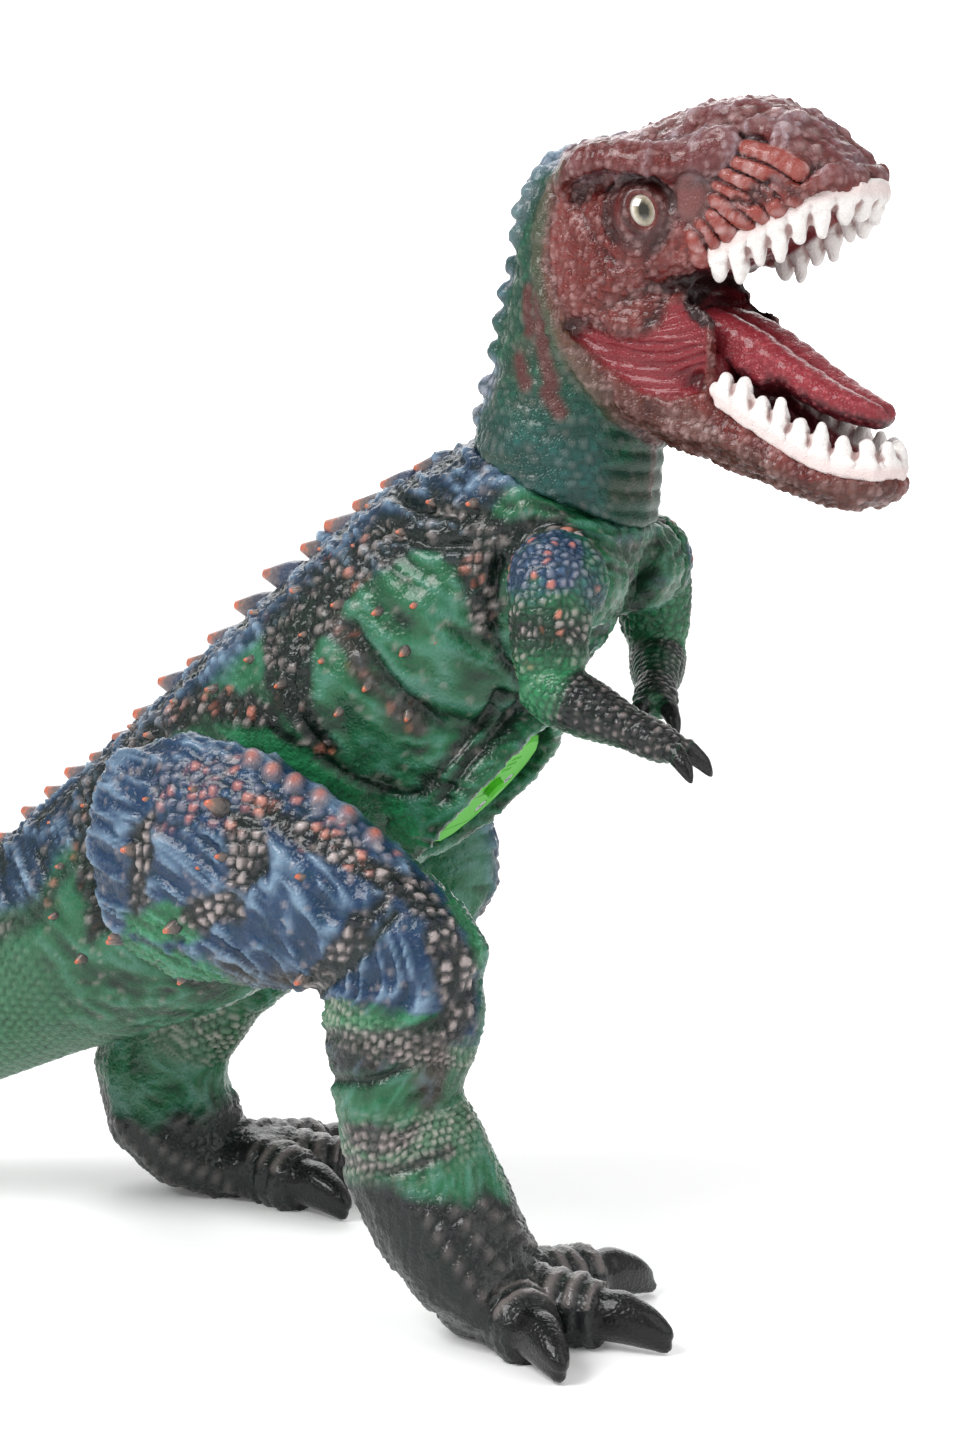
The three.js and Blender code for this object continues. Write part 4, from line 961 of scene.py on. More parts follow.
def makeLeg(side):
    t = leg
    tall = t["heights"]
    name = sideNames[side]
    own = t[name]
    field = fieldOfSkin(name + "_leg_skin", [name + "_hip_plug"], t["step"]).blurred(t["blur"])
    ball = np.array(own["ball"])
    turns = [math.radians(yaw) for yaw, _ in own["toes"]]
    toes = [(np.array([math.cos(yaw), math.sin(yaw), 0]), reach)
            for yaw, (_, reach) in zip(turns, own["toes"])]
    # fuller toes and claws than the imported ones
    for heading, reach in toes:
        for share, radius, height in t["toeBalls"]:
            place = np.array([*ball, height]) + share * reach * heading
            field.dab([place], radius, 1.6 if share < t["clawRoot"] else 0.8)
    own["field"], own["chart"] = field, Chart(own["line"], (0, side, 0))
    skin = Skin(field)
    points = skin.points
    length, turn, radius, station = own["chart"].of(points)
    skin.look(points if side < 0 else t["right"]["chart"].place(station, -turn, radius))
    turn = turn * -side
    outward = ease((np.cos(turn) + 0.35) / 0.5)
    uneven = cloud(points, 9, 11)
    foot = ease((own["charcoal"] + 6 * uneven - points[:, 2]) / t["ankleSoftness"] + 0.5)
    thigh = ease((t["thighEnd"] - station) / 0.3)
    green = skin.area(*t["greenAreas"]) * outward
    dark = skin.area(*t["darkAreas"]) * outward
    brown = skin.area(*t["brownAreas"], soft=12) * outward
    pink = skin.area(t["pinkArea"], soft=8) * outward
    blue = thigh * outward * (1 - green)

    toe = np.full(len(points), -99.0)
    scuted = np.zeros(len(points))
    claw = np.zeros(len(points))
    for heading, reach in toes:
        away = points[:, :2] - ball
        ahead = away @ heading[:2]
        off = np.abs(away @ np.array([-heading[1], heading[0]]))
        on = (off < t["toeHalfWidth"]) & (points[:, 2] < t["toeTop"]) & (ahead > t["toeRoot"] * reach)
        toe = np.where(on, np.maximum(toe, ahead), toe)
        edges = on * ease((t["toeHalfWidth"] - off) / 3) * ease((t["toeTop"] - points[:, 2]) / 8)
        scuted = np.maximum(scuted, edges * ease((ahead / reach - 0.32) / 0.2))
        claw = np.maximum(claw, on * ease((ahead - t["clawRoot"] * reach) / 1.2))

    stone, luck = pebbles(points, t["pebbleSize"], 21)
    small, smallLuck = pebbles(points, t["smallSize"], 25)
    around = turn * radius
    bead, beadLuck = beads(length + 2.5 * uneven, around + 2 * cloud(points, 13, 24), *t["beadPitch"], 23)
    rough = wrinkles(around + 0.5 * length, length, t["wrinkleSize"], 27)
    rows = sum(ease(1 - np.abs(station - middle) / reach) for middle, reach in (t["knee"], t["shin"]))
    rows = np.clip(rows, 0, 1) * (1 - foot)
    stoneShare = np.clip(thigh * np.maximum(dark, 0.8 * pink), 0, 1) * (1 - rows)
    plain = np.clip(1 - stoneShare - rows, 0, 1) * (1 - claw)
    scutes = folds(toe, t["scutePitch"]) * scuted * (1 - claw)
    relief = stoneShare * stone * tall["stone"] + rows * bead * tall["bead"]
    relief = relief + plain * (tall["small"] * small + (tall["blueRough"] * blue + tall["rough"]) * rough)
    relief += green * small * tall["green"]
    relief += tall["fold"] * skin.crease(t["folds"], t["foldWidth"]) * outward
    relief -= tall["crease"] * skin.crease(t["creases"], t["creaseWidth"]) * outward
    row = skin.crease(t["scuteRows"], t["scuteWidth"]) * foot * (1 - scuted)
    row = row * folds(points[:, 0] - 0.5 * points[:, 2], 5)
    relief += tall["row"] * row
    toeSkin = scutes * tall["scute"] + tall["foot"] * wrinkles(length, around, t["toeWrinkleSize"], 29)
    relief += toeSkin * foot * (1 - claw)
    knob = np.zeros(len(points))
    for spot in t["knobs"]:
        dome = 1 - ((skin.flat - spot) ** 2).sum(axis=1) / t["knobRadius"] ** 2
        knob = np.maximum(knob, np.sqrt(np.clip(dome, 0, 1)) * outward)
    relief = np.maximum(relief, tall["knob"] * knob)
    skin.height = (relief - tall["sunk"]) * (1 - claw)

    top = stone**3 * stoneShare
    # painted shade: darker between the pebbles and beads, in the wrinkles, hollows and creases
    grooveShade = stoneShare * (1 - stone) + rows * (1 - bead)
    grooveShade = grooveShade + plain * (1 - rough) ** 2 * (0.8 - 0.25 * blue)
    shades = skin.crease(t["creases"], t["creaseShadeWidth"]) * outward
    grooveShade = np.maximum(grooveShade, skin.hollow(2.5) * 4) + shades
    # dry-brushed paint and painted highlights on pebble, bead, knob and scute tops
    drybrushAndHighlights = top**2 * (luck > 0.3) * (0.3 + 0.4 * dark + 0.15 * pink)
    drybrushAndHighlights = drybrushAndHighlights + bead**3 * rows * (0.25 + 0.5 * (beadLuck > 0.3)) + 0.3 * knob
    drybrushAndHighlights = drybrushAndHighlights + (0.3 * scutes**6 * (points[:, 2] > 12) + 0.16 * row**3) * foot
    drybrushAndHighlights = drybrushAndHighlights + small**3 * (smallLuck > 0.85) * 0.3 * blue
    skin.marks = {
        "blue": blue,
        "light": green * 0.7,
        "brown": brown,
        "dark": dark * 0.95,
        "foot": foot,
        "grooveShade": np.clip(grooveShade, 0, 0.95),
        # dry-brushed paint and painted sheen on raised wrinkles
        "drybrushAndSheen": np.clip(rough * 1.6 - 0.7, 0, 1) * plain * (0.6 * blue + 0.25 * (1 - foot)),
        "drybrushAndHighlights": np.clip(drybrushAndHighlights, 0, 1) * (1 - claw),
        "tips": top * (luck > 0.72) * pink * 0.55 + knob**8 * 0.55,
        "claw": claw,
    }
    skin.finish(name + "LegVinyl", legVinyl, "body_vinyl", name + "_leg", name + "_leg_skin")


arm = {
    "step": 0.6,
    "blur": 0.8,
    "elbowDrop": 28,
    "spread": 14,
    # how far the elbow is before the shoulder, and the forearm's heading
    "right": {"elbow": 1.5, "heading": (0.93, -0.1, -0.34)},
    "left": {"elbow": 0.5, "heading": (0.3, -0.92, -0.28)},
    "wrist": 27,
    "clawRoot": 42,
    "tip": 53,
    # stations of the middle line at which paint and relief change
    "domeEnd": 1.25,
    "cuffAt": 1.45,
    "elbowAt": 1.95,
    "upperEnd": 2.05,
    "forearmFrom": 2.15,
    "handFrom": 2.9,
    "pebbleSize": 2.6,
    "beadPitch": (2.6, 2.8),
    "ringPitch": 4,
    "heights": {"stone": 0.65, "bead": 0.7, "ring": 0.8, "sunk": 0.3},
}


def makeArm(side):
    t = arm
    tall = t["heights"]
    name = sideNames[side]
    own = t[name]
    shoulder = np.array(joints[name + "_shoulder"]["pos_m"]) / mm - underHips
    elbow = shoulder + (own["elbow"], side * t["spread"], -t["elbowDrop"])
    heading = unit(np.array(own["heading"]))
    field = fieldOfSkin(name + "_arm_skin", [name + "_shoulder_plug"], t["step"]).blurred(t["blur"])
    skin = Skin(field)
    points = skin.points
    start = shoulder + (0, side * t["spread"] * 0.7, 0)
    bones = [start + (0, 0, 10), start, elbow, elbow + t["wrist"] * heading, elbow + t["tip"] * heading]
    length, turn, radius, station = Chart(bones, (0, side, 0)).of(points)
    toShoulder = np.linalg.norm(points - shoulder, axis=1)
    uneven = cloud(points, 7, 31)
    upper = ease((t["upperEnd"] - station) / 0.25)
    dome = ease((t["domeEnd"] + 0.15 * uneven - station) / 0.3)
    hand = ease((station - t["handFrom"]) / 0.25)
    claw = ease(((points - elbow) @ heading - t["clawRoot"]) / 1.2) * (station > 2.5)
    # the dark paint was blown on from outside and above, so the inner side stays green
    outer = ease(0.75 * side * skin.normals[:, 1] + 0.5 * skin.normals[:, 2] + 0.5 + 0.2 * uneven)
    blue = dome * ease((uneven + 0.7) * 1.6) * outer
    forearm = ease((station - t["forearmFrom"] - 0.1 * uneven) / 0.2)
    elbowGreen = ease(1 - np.abs(station - t["elbowAt"]) / 0.35)
    cuff = ease(1 - np.abs(station - t["cuffAt"]) / 0.4)
    dark = np.clip(forearm + cuff * 0.9, 0, 1) * (1 - 0.8 * elbowGreen) * outer
    stone, luck = pebbles(points, t["pebbleSize"], 33)
    bead, beadLuck = beads(length + uneven, turn * radius, *t["beadPitch"], 35)
    rings = dome * (folds(toShoulder, t["ringPitch"]) - 1)
    relief = upper * stone * tall["stone"] + (1 - upper) * bead * tall["bead"] * (1 - claw)
    relief = relief + rings * tall["ring"]
    skin.height = (relief - tall["sunk"]) * (1 - claw) * ease((toShoulder - 12) / 3)
    # dry-brushed paint and painted highlights on the tops of pebbles and beads
    top = stone**3 * upper * outer + bead**3 * (1 - upper) * (0.45 + 0.35 * (beadLuck > 0.5))
    skin.marks = {
        "blue": blue,
        "dark": dark * (1 - claw),
        "foot": hand * (1 - claw) * (0.35 + 0.5 * outer),
        # painted shade between the pebbles and beads
        "grooveShade": (1 - np.clip(upper * stone + (1 - upper) * bead, 0, 1)) * 0.75,
        "light": 0.5 * elbowGreen,
        # dry-brushed paint and painted sheen on the blue dome's pebbles
        "drybrushAndSheen": 0.15 * blue * stone**2,
        "drybrushAndHighlights": top**2 * (luck > 0.3) * (0.3 + 0.4 * dark) * (1 - claw),
        "tips": stone**3 * upper * (luck > 0.93) * (1 - elbowGreen) * 0.6 * outer,
        "claw": claw,
    }
    skin.finish(name + "ArmVinyl", legVinyl, "body_vinyl", name + "_arm", name + "_arm_skin")


# The limbs' paint: as the body's, with charcoal feet and hands and glossy black claws
legVinyl = paintedVinyl("paintedLimbVinyl", paints["base"], [
    (mark, paints[mark], ragged)
    for mark, ragged in (("light", 0.2), ("blue", 0.5), ("brown", 0.5), ("dark", 0.5), ("foot", 0.3),
                         ("drybrushAndSheen", 0.4), ("grooveShade", 0.2), ("drybrushAndHighlights", 0.15), ("tips", 0.1),
                         ("claw", 0.0))
])
for side in sideNames:
    makeLeg(side)
    makeArm(side)


# Head. Its own frame: x along the muzzle, y to its left, z up, from a point inside the neck.
headAt = np.array([97.8, 0, 289])
headYaw = math.radians(-12)
headAxes = np.array([
    [math.cos(headYaw), math.sin(headYaw), 0],
    [-math.sin(headYaw), math.cos(headYaw), 0],
    [0, 0, 1],
])


def toHead(places):
    return (places - headAt) @ headAxes.T


def fromHead(places):
    return np.array(places, dtype=float) @ headAxes + headAt


def mirrorHead(places):
    return fromHead(toHead(places) * (1, -1, 1))


head = {
    "step": 0.78,
    "blur": 0.9,
    "lastBlur": 0.45,
    # drawn features in pixels of the photograph
    "brow": [(571, 186), (576, 172), (590, 161), (608, 158), (633, 163), (658, 168), (679, 166), (706, 156),
             (724, 142)],
    "underBrow": [(578, 200), (584, 188), (602, 180), (628, 180), (654, 188), (661, 203)],
    "socketRear": [(580, 196), (584, 218), (596, 240)],
    "socketFront": [(600, 247), (612, 260), (630, 264), (648, 258), (660, 243), (666, 224)],
    "lipCrease": [(700, 249), (725, 237), (748, 221), (772, 198), (798, 178), (822, 164)],
    "border": [(556, 182), (544, 215), (540, 250), (542, 285), (552, 318), (570, 350), (590, 382),
               (616, 412)],
    "crest": [(600, 131), (583, 136), (567, 148), (552, 160), (540, 174), (530, 192), (521, 211),
              (512, 236)],
    "nape": [(505, 262), (498, 290), (490, 320), (483, 350), (473, 382), (460, 408)],
    "knobs": [(708, 104), (724, 102), (750, 110), (775, 114), (800, 119), (696, 116), (671, 123), (652, 133),
              (700, 137), (734, 118), (718, 124), (760, 124), (684, 148), (667, 152), (645, 152), (784, 130),
              (812, 134), (628, 143), (745, 132), (815, 150), (800, 146)],
    "upperPads": [(684, 258), (696, 260), (709, 256), (722, 250), (735, 244), (747, 237), (757, 228),
                  (767, 218), (777, 210), (787, 201), (798, 193), (809, 186), (820, 179), (832, 173)],
    "tallPads": [(775, 198), (786, 189), (797, 181), (809, 174), (820, 167)],
    "fan": [
        [(697, 237), (700, 247), (703, 257)],
        [(703, 227), (710, 237), (717, 250)],
        [(713, 218), (722, 227), (733, 240)],
        [(718, 200), (733, 212), (750, 223)],
        [(722, 187), (733, 193), (748, 200)],
        [(740, 203), (757, 213), (770, 223)],
        [(727, 177), (747, 184), (768, 196)],
        [(757, 192), (773, 203), (787, 214)],
        [(740, 163), (767, 173), (793, 190)],
        [(747, 151), (773, 158), (799, 172)],
        [(775, 183), (788, 191), (799, 201)],
    ],
    "oval": [(690, 172), (702, 176), (709, 190), (706, 208), (696, 221), (683, 222), (674, 210), (673, 190),
             (680, 177)],
    "nostril": [(742, 137), (755, 138), (767, 144)],
    "nostrilRim": [(736, 131), (752, 127), (770, 132), (778, 142)],
    "cheekFold": [(568, 326), (590, 322), (612, 332), (634, 332), (652, 320), (664, 298), (676, 280)],
    "membrane": [(572, 336), (588, 326), (612, 338), (636, 338), (656, 325), (668, 303), (690, 296),
                 (706, 320), (706, 366), (700, 390), (672, 400), (640, 393), (607, 368)],
    "corner": [(676, 276), (708, 268), (724, 296), (712, 330), (690, 312)],
    "neck": [(600, 60), (594, 105), (566, 150), (550, 185), (545, 220), (541, 265), (544, 300), (560, 345),
             (585, 388), (614, 420), (650, 446), (662, 720), (280, 720), (280, 60)],
    "jaw": [(575, 345), (607, 372), (640, 398), (690, 404), (730, 440), (800, 480), (900, 478), (905, 540),
            (700, 500), (610, 440), (560, 370)],
    "streaks": [[(528, 292), (530, 330)], [(540, 300), (543, 345), (552, 385)], [(519, 360), (526, 384)],
                [(547, 392), (560, 412)]],
    "jawLines": [[(600, 400), (640, 432), (700, 452)], [(620, 398), (660, 425), (720, 440), (780, 472)],
                 [(718, 468), (790, 494), (860, 506)]],
    # how features are sculpted with balls: spacing in pixels, or 0 for one ball a spot, how deep their
    # middles lie, radius, blend and whether they are added or dug out
    "dabs": [
        ("brow", 6, 1.2, 4.6, 2.5, 1),
        ("border", 6, 0.8, 2.3, 2, 1),
        ("crest", 0, 0.6, 3.0, 1, 1),
        ("nape", 0, 0.4, 3.2, 1, 1),
        ("knobs", 0, 1.0, 2.0, 1, 1),
        ("upperPads", 0, 0.6, 2.6, 0.8, 1),
        ("tallPads", 0, 0.6, 2.9, 0.8, 1),
        ("nostrilRim", 5, 0.9, 1.9, 1, 1),
        ("underBrow", 5, -1.0, 3.6, 1.8, -1),
        ("socketRear", 5, -1.0, 2.1, 1.6, -1),
        ("socketFront", 5, -1.0, 2.1, 1.4, -1),
        ("lipCrease", 4, -1.0, 2.0, 0.8, -1),
        ("gullet", 0, 0, 4.5, 2, 1),
        ("nostril", 4, 0.2, 1.6, 0.6, -1),
        ("cheekFold", 5, -1.0, 1.9, 1.4, -1),
        ("fan", 4, 0.45, 2.0, 0.5, 1),
        ("jawLines", 5, 0.6, 1.7, 1.5, 1),
    ],
    # the back of the mouth's floor, in the head's frame
    "gullet": [(x, y, z) for x, top in ((34, -15), (39, -18), (44, -22)) for y in range(-12, 13, 4)
               for z in range(-32, top + 1, 3)],
    "eyeAt": (27.5, -20.5, 18.1),
    "eyeRadius": 7.5,
    "eyeFacing": (0.36, -0.92, 0.08),
    "eyeOpening": (0.46, 0.56),
    "eyeSlant": 0.35,
    "lidThickness": 1.5,
    "foldDepth": 1.6,
    # folds of the cheek round the eye, from one radius to another
    "cheek": (9.5, 34),
    # the mouth's floor behind the teeth: from and to along the muzzle, and its half width
    "gulletRoom": (28, 50, 17.5),
    "knobsAbove": 24,
    "throatFrom": 10,
    "ribReach": 3.6,
    # the neck's own axis, and the middle of the membrane's arcs in pixels
    "neckAt": (87.5, 0, 225),
    "neckAxis": (0.2, 0, 0.98),
    "arcsRound": (650, 215),
    "pixelsPerMm": 3.6,
    "smallSize": 2.2,
    "pebbleSize": 3.2,
    "beadPitch": (2.9, 3.0),
    "platePitch": 5.5,
    "heights": {"bead": 0.45, "rough": 0.9, "plate": 1.2, "small": 0.75, "crumple": 0.5, "stone": 0.4,
                "knobCrumple": 1.9, "cheek": 0.7, "rib": 1.3, "ribSmall": 0.3, "ribGap": 0.6,
                "ovalRim": 0.8, "membrane": 1.2, "oval": 0.7, "mouth": 0.25, "sunk": 0.4},
}
# The two lines of teeth, from the right corner of the mouth to the middle, in the head's frame
upperLip = np.array([(30, -17, -2), (46.4, -18.2, 6.4), (53.3, -16.8, 9.8), (65.4, -14.8, 16.2),
                     (74.8, -12.3, 21.1), (82.6, -6.8, 23.5)])
lowerLip = np.array([(30, -17, -18), (47.5, -16.5, -29.8), (55.1, -15.5, -34.5), (64.6, -14.3, -40.5),
                     (74.1, -12.5, -45.8), (83.6, -10, -48.8), (91.2, -5, -49.4)])


# A line of teeth seen from above, closed behind
def planOf(lip):
    line = smoothLine(lip[1:], 2)[0][:, :2]
    return np.concatenate([line, (line * (1, -1))[::-1]])


# A direction or place of the right eye, for the eye on a side, in the head's frame
def forEye(side, vector):
    return np.array(vector) * (1, -side, 1)


def uprightTo(ahead):
    return unit(np.array([0, 0, 1]) - ahead[2] * ahead)


# The middles of a feature's balls; the base is the head before any sculpting
def dabPlaces(base, name, spacing, sink):
    if name == "gullet":
        return [fromHead(head[name])]
    lines = head[name] if np.ndim(head[name][0]) > 1 else [head[name]]
    found = []
    for line in lines:
        places = spotsOn(base, smoothLine(line, spacing)[0] if spacing else line)
        places = places - sink * base.slope(places)
        found.append(places if name == "nape" else np.concatenate([places, mirrorHead(places)]))
    return found


# The socket of an eye: a fold round it, lids with a rim, and the pit that the ball sits in
def sculptSocket(field, side):
    t = head
    eye = fromHead(forEye(side, t["eyeAt"]))
    facing = forEye(side, t["eyeFacing"]) @ headAxes
    upright = uprightTo(facing)
    slices, places = field.window(eye - 16, eye + 16)
    away = places - eye
    gap = np.linalg.norm(away, axis=-1)
    ahead = away @ facing
    wide, tall = t["eyeOpening"]
    aside = away @ np.cross(upright, facing) / np.maximum(gap, 1e-6)
    above = away @ upright / np.maximum(gap, 1e-6)
    slanted = above - side * t["eyeSlant"] * aside
    opening = (np.sqrt((aside / wide) ** 2 + (slanted / tall) ** 2) - 1) * wide * t["eyeRadius"]
    opening = np.where(ahead > 0, opening, 9)
    values = field.values[slices]
    ring = np.abs(gap - t["eyeRadius"] - 3.6) - 1.3
    values = -softMin(-values, np.maximum.reduce([ring, 4 - opening, -values - t["foldDepth"]]), 1.0)
    shell = np.maximum(gap - t["eyeRadius"] - t["lidThickness"], 0.5 - opening)
    values = softMin(values, np.maximum(np.maximum(shell, opening - 4.5), -ahead), 1)
    rim = np.sqrt(np.maximum(opening - 0.7, 0) ** 2 + (gap - t["eyeRadius"] - 0.9) ** 2) - 1.1
    values = softMin(values, np.where((opening < 3) & (ahead > 0), rim, 9), 0.7)
    pit = np.maximum(gap - t["eyeRadius"] - 3, opening + 0.2)
    field.values[slices] = np.maximum(values, -np.maximum(pit, t["eyeRadius"] - 2 - ahead))


def makeHead():
    t = head
    tall = t["heights"]
    field = fieldOfSkin("head_skin", ["neck_plug"], t["step"]).blurred(t["blur"])
    base = Field(field.low, field.step, field.values.copy())
    for name, spacing, sink, radius, soft, way in t["dabs"]:
        for places in dabPlaces(base, name, spacing, sink):
            field.dab(places, radius, soft, way)
    for side in sideNames:
        sculptSocket(field, side)
    skin = Skin(field.blurred(t["lastBlur"]))

    # Drawn lines, or single spots, on the smooth head and mirrored
    def bothSides(lines):
        places = [spotsOn(base, smoothLine(line, 8)[0] if len(line) > 1 else line) for line in lines]
        return [copy for place in places for copy in (place, mirrorHead(place))]

    # How near the skin is to small spots, from 1 to 0
    def nearSpots(pixels, width):
        return bell(skin.gapTo(*bothSides([[spot] for spot in pixels])), width)

    points = skin.points
    inHead = toHead(points)
    ahead, aside, above = inHead.T
    # the left half is folded onto the right, which the photograph shows
    folded = np.stack([ahead, -np.abs(aside), above], axis=1)
    flat = pixelsOf(fromHead(folded))
    uneven = cloud(points, 8, 41)

    def area(name, soft=5):
        ragged = 5 * uneven * (soft > 3)
        return ease(0.5 - (gapToOutline(flat, t[name]) + ragged) / (2 * soft))

    neck = area("neck", 6) * ease((12 - ahead) / 8 + (above < -20) * 2)
    membrane = area("membrane", 3)
    oval = area("oval", 2)
    jaw = area("jaw", 8)
    top = np.interp(ahead, upperLip[:, 0], upperLip[:, 2])
    bottom = np.interp(ahead, lowerLip[:, 0], lowerLip[:, 2])
    upperGap, lowerGap = (gapToOutline(inHead[:, :2], planOf(lip)) for lip in (upperLip, lowerLip))
    inner = -np.where(above > (top + bottom) / 2, upperGap, lowerGap)
    first, last, halfWide = t["gulletRoom"]
    floor = np.where((ahead > first) & (ahead < last), halfWide - np.abs(aside), -9)
    mouth = ease((np.maximum(inner, floor) - 0.3) / 1.5)
    mouth *= ease((top + 10 - above) / 2) * ease((above - bottom + 8) / 2)
    corner = area("corner", 4)

    toEye = np.linalg.norm(folded - t["eyeAt"], axis=1)
    nearest, farthest = t["cheek"]
    cheek = ease((farthest - toEye) / 6) * ease((toEye - nearest) / 2)
    cheek = cheek * ease((16 - above) / 8) * (1 - membrane)
    small, smallLuck = pebbles(points, t["smallSize"], 43)
    stone, _ = pebbles(points, t["pebbleSize"], 45)
    knobby = ease((above - t["knobsAbove"]) / 6) * (1 - neck)
    along = (points - t["neckAt"]) @ np.array(t["neckAxis"])
    around = np.arctan2(aside, -ahead - 6) * 25
    bead, beadLuck = beads(along + 2.5 * uneven, around, *t["beadPitch"], 47)
    fromArcs = np.linalg.norm(flat - t["arcsRound"], axis=1)
    arcs = folds((fromArcs + 3 * uneven) / t["pixelsPerMm"], 3.0)
    throat = neck * ease((ahead - t["throatFrom"]) / 6)
    plates = folds(along, t["platePitch"])
    rough = wrinkles(along + 0.4 * around, around, 5, 49)
    relief = neck * (1 - throat) * (bead * tall["bead"] + rough * tall["rough"])
    relief = relief + throat * plates * tall["plate"]
    scaly = (1 - neck) * (1 - mouth) * (1 - membrane) * (1 - oval)
    crumpled = wrinkles(ahead, aside, 6, 53, 1)
    relief += scaly * ((1 - knobby) * (small * tall["small"] + tall["crumple"] * crumpled)
                       + knobby * (tall["stone"] * stone + tall["knobCrumple"] * crumpled))
    relief += cheek * (folds(toEye + 2 * uneven, 2.4) - 1) * tall["cheek"]
    ribGaps = np.sort([skin.gapTo(line, reach=8) for line in bothSides(t["fan"])], axis=0)
    fan = ease((t["ribReach"] - ribGaps[0]) / 1.4)
    ribs = fan * ease((ribGaps[1] - ribGaps[0]) / 1.6)
    ribGrooves = fan - ribs
    ovalRim = bell(gapToOutline(flat, t["oval"]), 4)
    relief = relief * (1 - fan) + tall["rib"] * ribs + tall["ribSmall"] * fan * small
    relief -= tall["ribGap"] * ribGrooves
    relief -= tall["ovalRim"] * ovalRim
    relief += membrane * (arcs - 1) * tall["membrane"] - tall["membrane"] * area("membrane", 2)
    relief += tall["oval"] * oval
    relief += mouth * (small * tall["mouth"])
    skin.height = (relief - tall["sunk"]) * ease((toEye - t["eyeRadius"] - 2.4) / 1)

    crestTops = nearSpots(t["crest"], 2.2)
    back = neck * ease((22 + 5 * uneven - np.abs(aside)) / 8) * ease(1 - ahead / 8)
    # painted shade: darker in hollows, between the ribs, round the oval and between small scales and wrinkles
    deep = np.clip(skin.hollow(1.6) * 2.2, 0, 0.8)
    border = skin.band(*bothSides([t["border"]]), width=6, soft=3)
    socket = ease((13 - toEye) / 2) * ease((toEye - 8.6) / 1)
    grooveShade = deep * (1 - 0.8 * ribs) * (1 - neck) + 0.42 * ribGrooves + 0.4 * ovalRim
    grooveShade = grooveShade + (1 - small) * 0.4 * scaly * (1 - ribs)
    grooveShade = grooveShade + scaly * (1 - crumpled) ** 2 * 0.45 * (1 - ribs)
    # dry-brushed paint and painted sheen on the crest, the nape's beads and the knobby crown
    drybrushAndSheen = crestTops * 0.8 + 0.5 * back * bead**2
    drybrushAndSheen = drybrushAndSheen + 0.4 * knobby * (1 - ribs) * small * crumpled**2
    # dry-brushed paint and painted highlights on knobs, ribs, beads, small scales and the oval
    drybrushAndHighlights = nearSpots(t["knobs"], 1.6) * 0.4 + scaly * crumpled**3 * stone * 0.32 * (1 - ribs)
    drybrushAndHighlights = drybrushAndHighlights + 0.35 * ribs * stone**3
    drybrushAndHighlights = drybrushAndHighlights + bead**3 * neck * (beadLuck > 0.6) * (0.1 + 0.3 * back)
    drybrushAndHighlights = drybrushAndHighlights + scaly * small**3 * (smallLuck > 0.5) * 0.26 + 0.12 * oval
    skin.marks = {
        "neck": neck,
        "blue": np.maximum(back, 0.25 * neck * (1 - throat) * ease((-above - 20) / 30)),
        # painted shade in the neck's furrows between beads and wrinkles
        "furrowShade": neck * (1 - bead * rough) * 0.85,
        "border": np.maximum(border * 0.8, neck * 0.3 * ease(uneven * 2 - 0.4)),
        "jaw": jaw * (1 - mouth) * (1 - neck),
        "membrane": membrane,
        "mouth": mouth,
        "shade": np.clip(corner + 0.6 * oval * 0.6 + 0.75 * socket, 0, 1),
        "streaks": skin.band(*bothSides(t["streaks"]), width=4.5) * neck,
        "grooveShade": np.clip(grooveShade, 0, 0.9),
        "pads": np.maximum(nearSpots(t["upperPads"] + t["tallPads"], 2.2), ribs) * 0.75,
        "drybrushAndSheen": np.clip(drybrushAndSheen, 0, 1),
        "drybrushAndHighlights": np.clip(drybrushAndHighlights, 0, 1) * (1 - mouth),
    }
    skin.finish("headVinyl", headVinyl, "head_vinyl", "head", "head_skin")


# The head's paint: brick red with dry-brushed paint and painted highlights on its knobs, a green neck with a
# blue nape, a raw-red mouth, and painted shade in its grooves and furrows
headVinyl = paintedVinyl("paintedHeadVinyl", "#70251f", [
    ("jaw", "#5c3026", 0.4),
    ("neck", "#1e5c42", 0.3),
    ("blue", "#2c4a78", 0.4),
    ("furrowShade", "#0f2d26", 0.2),
    ("border", "#4f4a38", 0.5),
    ("streaks", "#4f2926", 0.3),
    ("membrane", "#7c262d", 0.2),
    ("mouth", "#641a21", 0.1),
    ("shade", "#2b1718", 0.2),
    ("pads", "#914239", 0.3),
    ("grooveShade", "#2a0c0d", 0.2),
    ("drybrushAndHighlights", "#c2a5a3", 0.15),
    ("drybrushAndSheen", "#9fb3c4", 0.2),
], roughness=0.34, grain=1.0)
makeHead()


# Eyes: glossy cream balls with an upright olive pupil, painted by the turn away from their gaze
eye = {
    "white": "#ddd8cd",
    "iris": "#9b917a",
    "pupil": "#2a281f",
    # how far from the gaze, from 0 to 1, each colour is reached
    "rings": [(0.0, "pupil"), (0.22, "pupil"), (0.38, "iris"), (0.52, "white"), (1.0, "white")],
    "roughness": 0.08,
    "gaze": (0.42, -0.9, 0.06),
    "pupilWide": 0.21,
    "pupilTall": 0.3,
    "irisReach": 1.9,
    "speckScale": 900,
    "speckDepth": 0.12,
}


